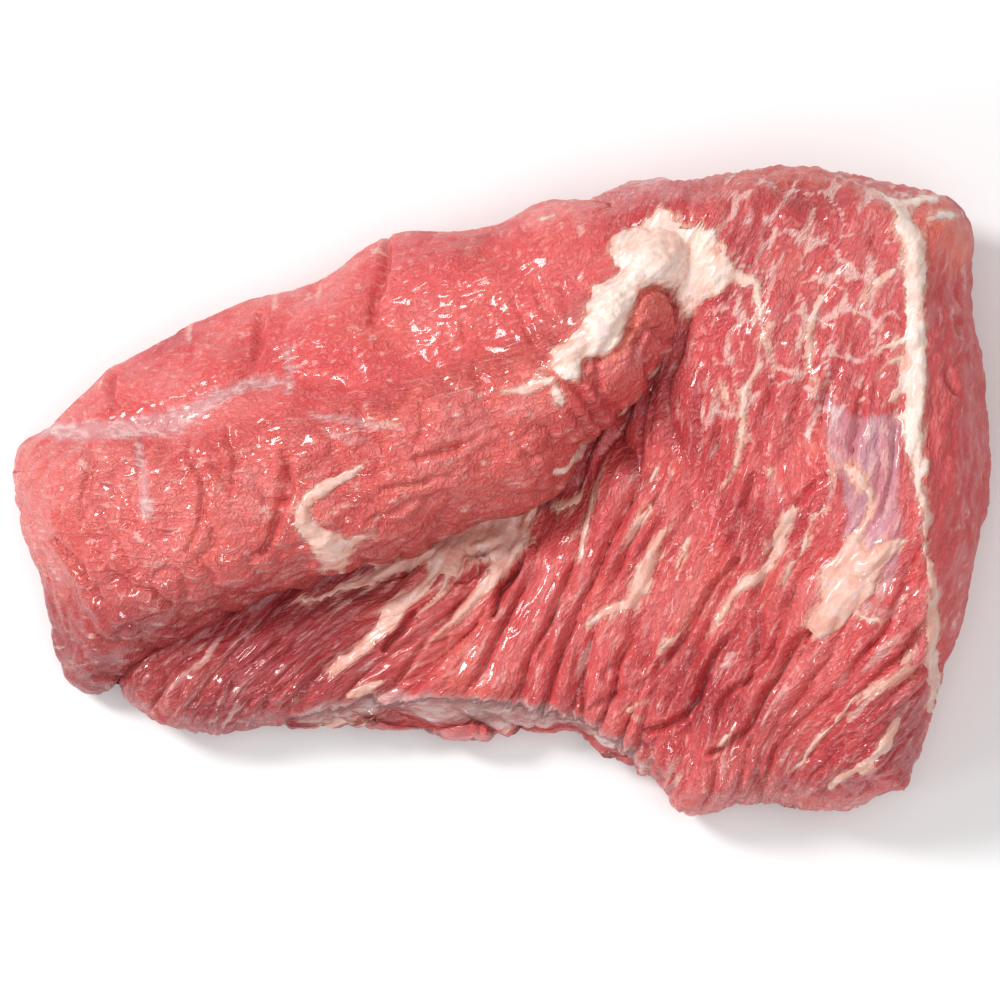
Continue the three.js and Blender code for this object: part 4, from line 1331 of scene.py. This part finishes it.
for share, paint in (
    (ramp(tree, streaks, 0.55, 1.0, 0.0, 0.4), MILKY),
    (ramp(tree, streaks, 0.4, 0.0, 0.0, 0.35), PINK_CREAM),
    # painted shade on the fat near the fold and at the thin end
    (times(tree, stored(tree, "dark"), 0.45), DUSKY),
):
    colour = mixed(tree, share, colour, paint)
tree.links.new(colour, shader.inputs["Base Color"])
tree.links.new(wet["Roughness"], shader.inputs["Roughness"])
relief = calc(tree, "ADD", times(tree, fibres["Height"], 0.6), times(tree, wet["Height"], 0.2))
bump = node(tree, "ShaderNodeBump", {"Height": relief, "Strength": 0.9, "Distance": 0.0005})
tree.links.new(bump.outputs[0], shader.inputs["Normal"])
set_all(
    shader, Coat_Weight=0.5, Coat_Roughness=0.14,
    Subsurface_Weight=0.35, Subsurface_Radius=(1.0, 0.5, 0.35), Subsurface_Scale=0.002,
)
seam_fat.data.materials.append(fat)
print("fat material:", len(tree.nodes), "nodes")

# %% [markdown]
# ## One part, in its frame
#
# All pieces belong to the one solid, so they ride on its only body and stand for its node together.

# %% Tying the pieces to the solid
for piece in (main_mass, folded_flap, seam_fat):
    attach(piece, "root")
    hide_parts("roast")

# %% [markdown]
# ## Floor, light and camera
#
# A small lamp gives hard glints, and a big one flattens everything. So there is one fairly soft box high
# behind the left shoulder, a wide faint one above, and two small ones for glints on the near side, with a
# pale world that fills the shadows. The camera looks almost straight down from far away, with a long lens.

# %% Floor
FLOOR_GREY = 0.93
bpy.ops.mesh.primitive_plane_add(size=6, location=(0, 0, -0.0002))
floor = bpy.context.object
floor.name = "floor"
paper = bpy.data.materials.new("pale_floor")
paper.use_nodes = True
paper_shader = paper.node_tree.nodes["Principled BSDF"]
paper_shader.inputs["Base Color"].default_value = (FLOOR_GREY, FLOOR_GREY, FLOOR_GREY, 1)
paper_shader.inputs["Roughness"].default_value = 0.9
floor.data.materials.append(paper)

# %% Lights
SOFT_BOXES = [  # name, place, size and power
    ("key", (-1.05, 0.6, 1.2), 0.38, 18.8),
    ("top", (0.35, -0.1, 1.6), 1.4, 10),
    ("front", (-0.2, -1.15, 0.85), 0.16, 2.2),
    ("left", (-1.2, -0.45, 0.8), 0.3, 3),
]
for name, position, size, power in SOFT_BOXES:
    light = bpy.data.lights.new(name, "AREA")
    light.shape = "SQUARE"
    light.size = size
    light.energy = power
    lamp = bpy.data.objects.new(name, light)
    lamp.location = position
    lamp.rotation_euler = Vector(position).to_track_quat("Z", "Y").to_euler()
    bpy.context.collection.objects.link(lamp)
world = bpy.data.worlds.new("pale_room")
world.use_nodes = True
room = world.node_tree.nodes["Background"]
room.inputs["Color"].default_value = (1, 1, 1, 1)
room.inputs["Strength"].default_value = 0.35
bpy.context.scene.world = world
bpy.context.scene.view_settings.view_transform = "Standard"
print("lights:", [name for name, *_ in SOFT_BOXES])

# %% Camera
SEEN, SENSOR = 256, 36  # millimetres: the width that the frame shows, and the width of the sensor
DISTANCE, ELEVATION = 1.5, math.radians(87)
AIM = Vector((0, -0.0036, 0.035))
camera_data = bpy.data.cameras.new("camera")
camera = bpy.data.objects.new("camera", camera_data)
bpy.context.collection.objects.link(camera)
camera.location = AIM + DISTANCE * Vector((0, -math.cos(ELEVATION), math.sin(ELEVATION)))
camera.rotation_euler = (camera.location - AIM).to_track_quat("Z", "Y").to_euler()
camera_data.sensor_width = SENSOR
camera_data.lens = SENSOR * DISTANCE / (SEEN * MM)
bpy.context.scene.camera = camera
print("lens:", round(camera_data.lens), "mm")
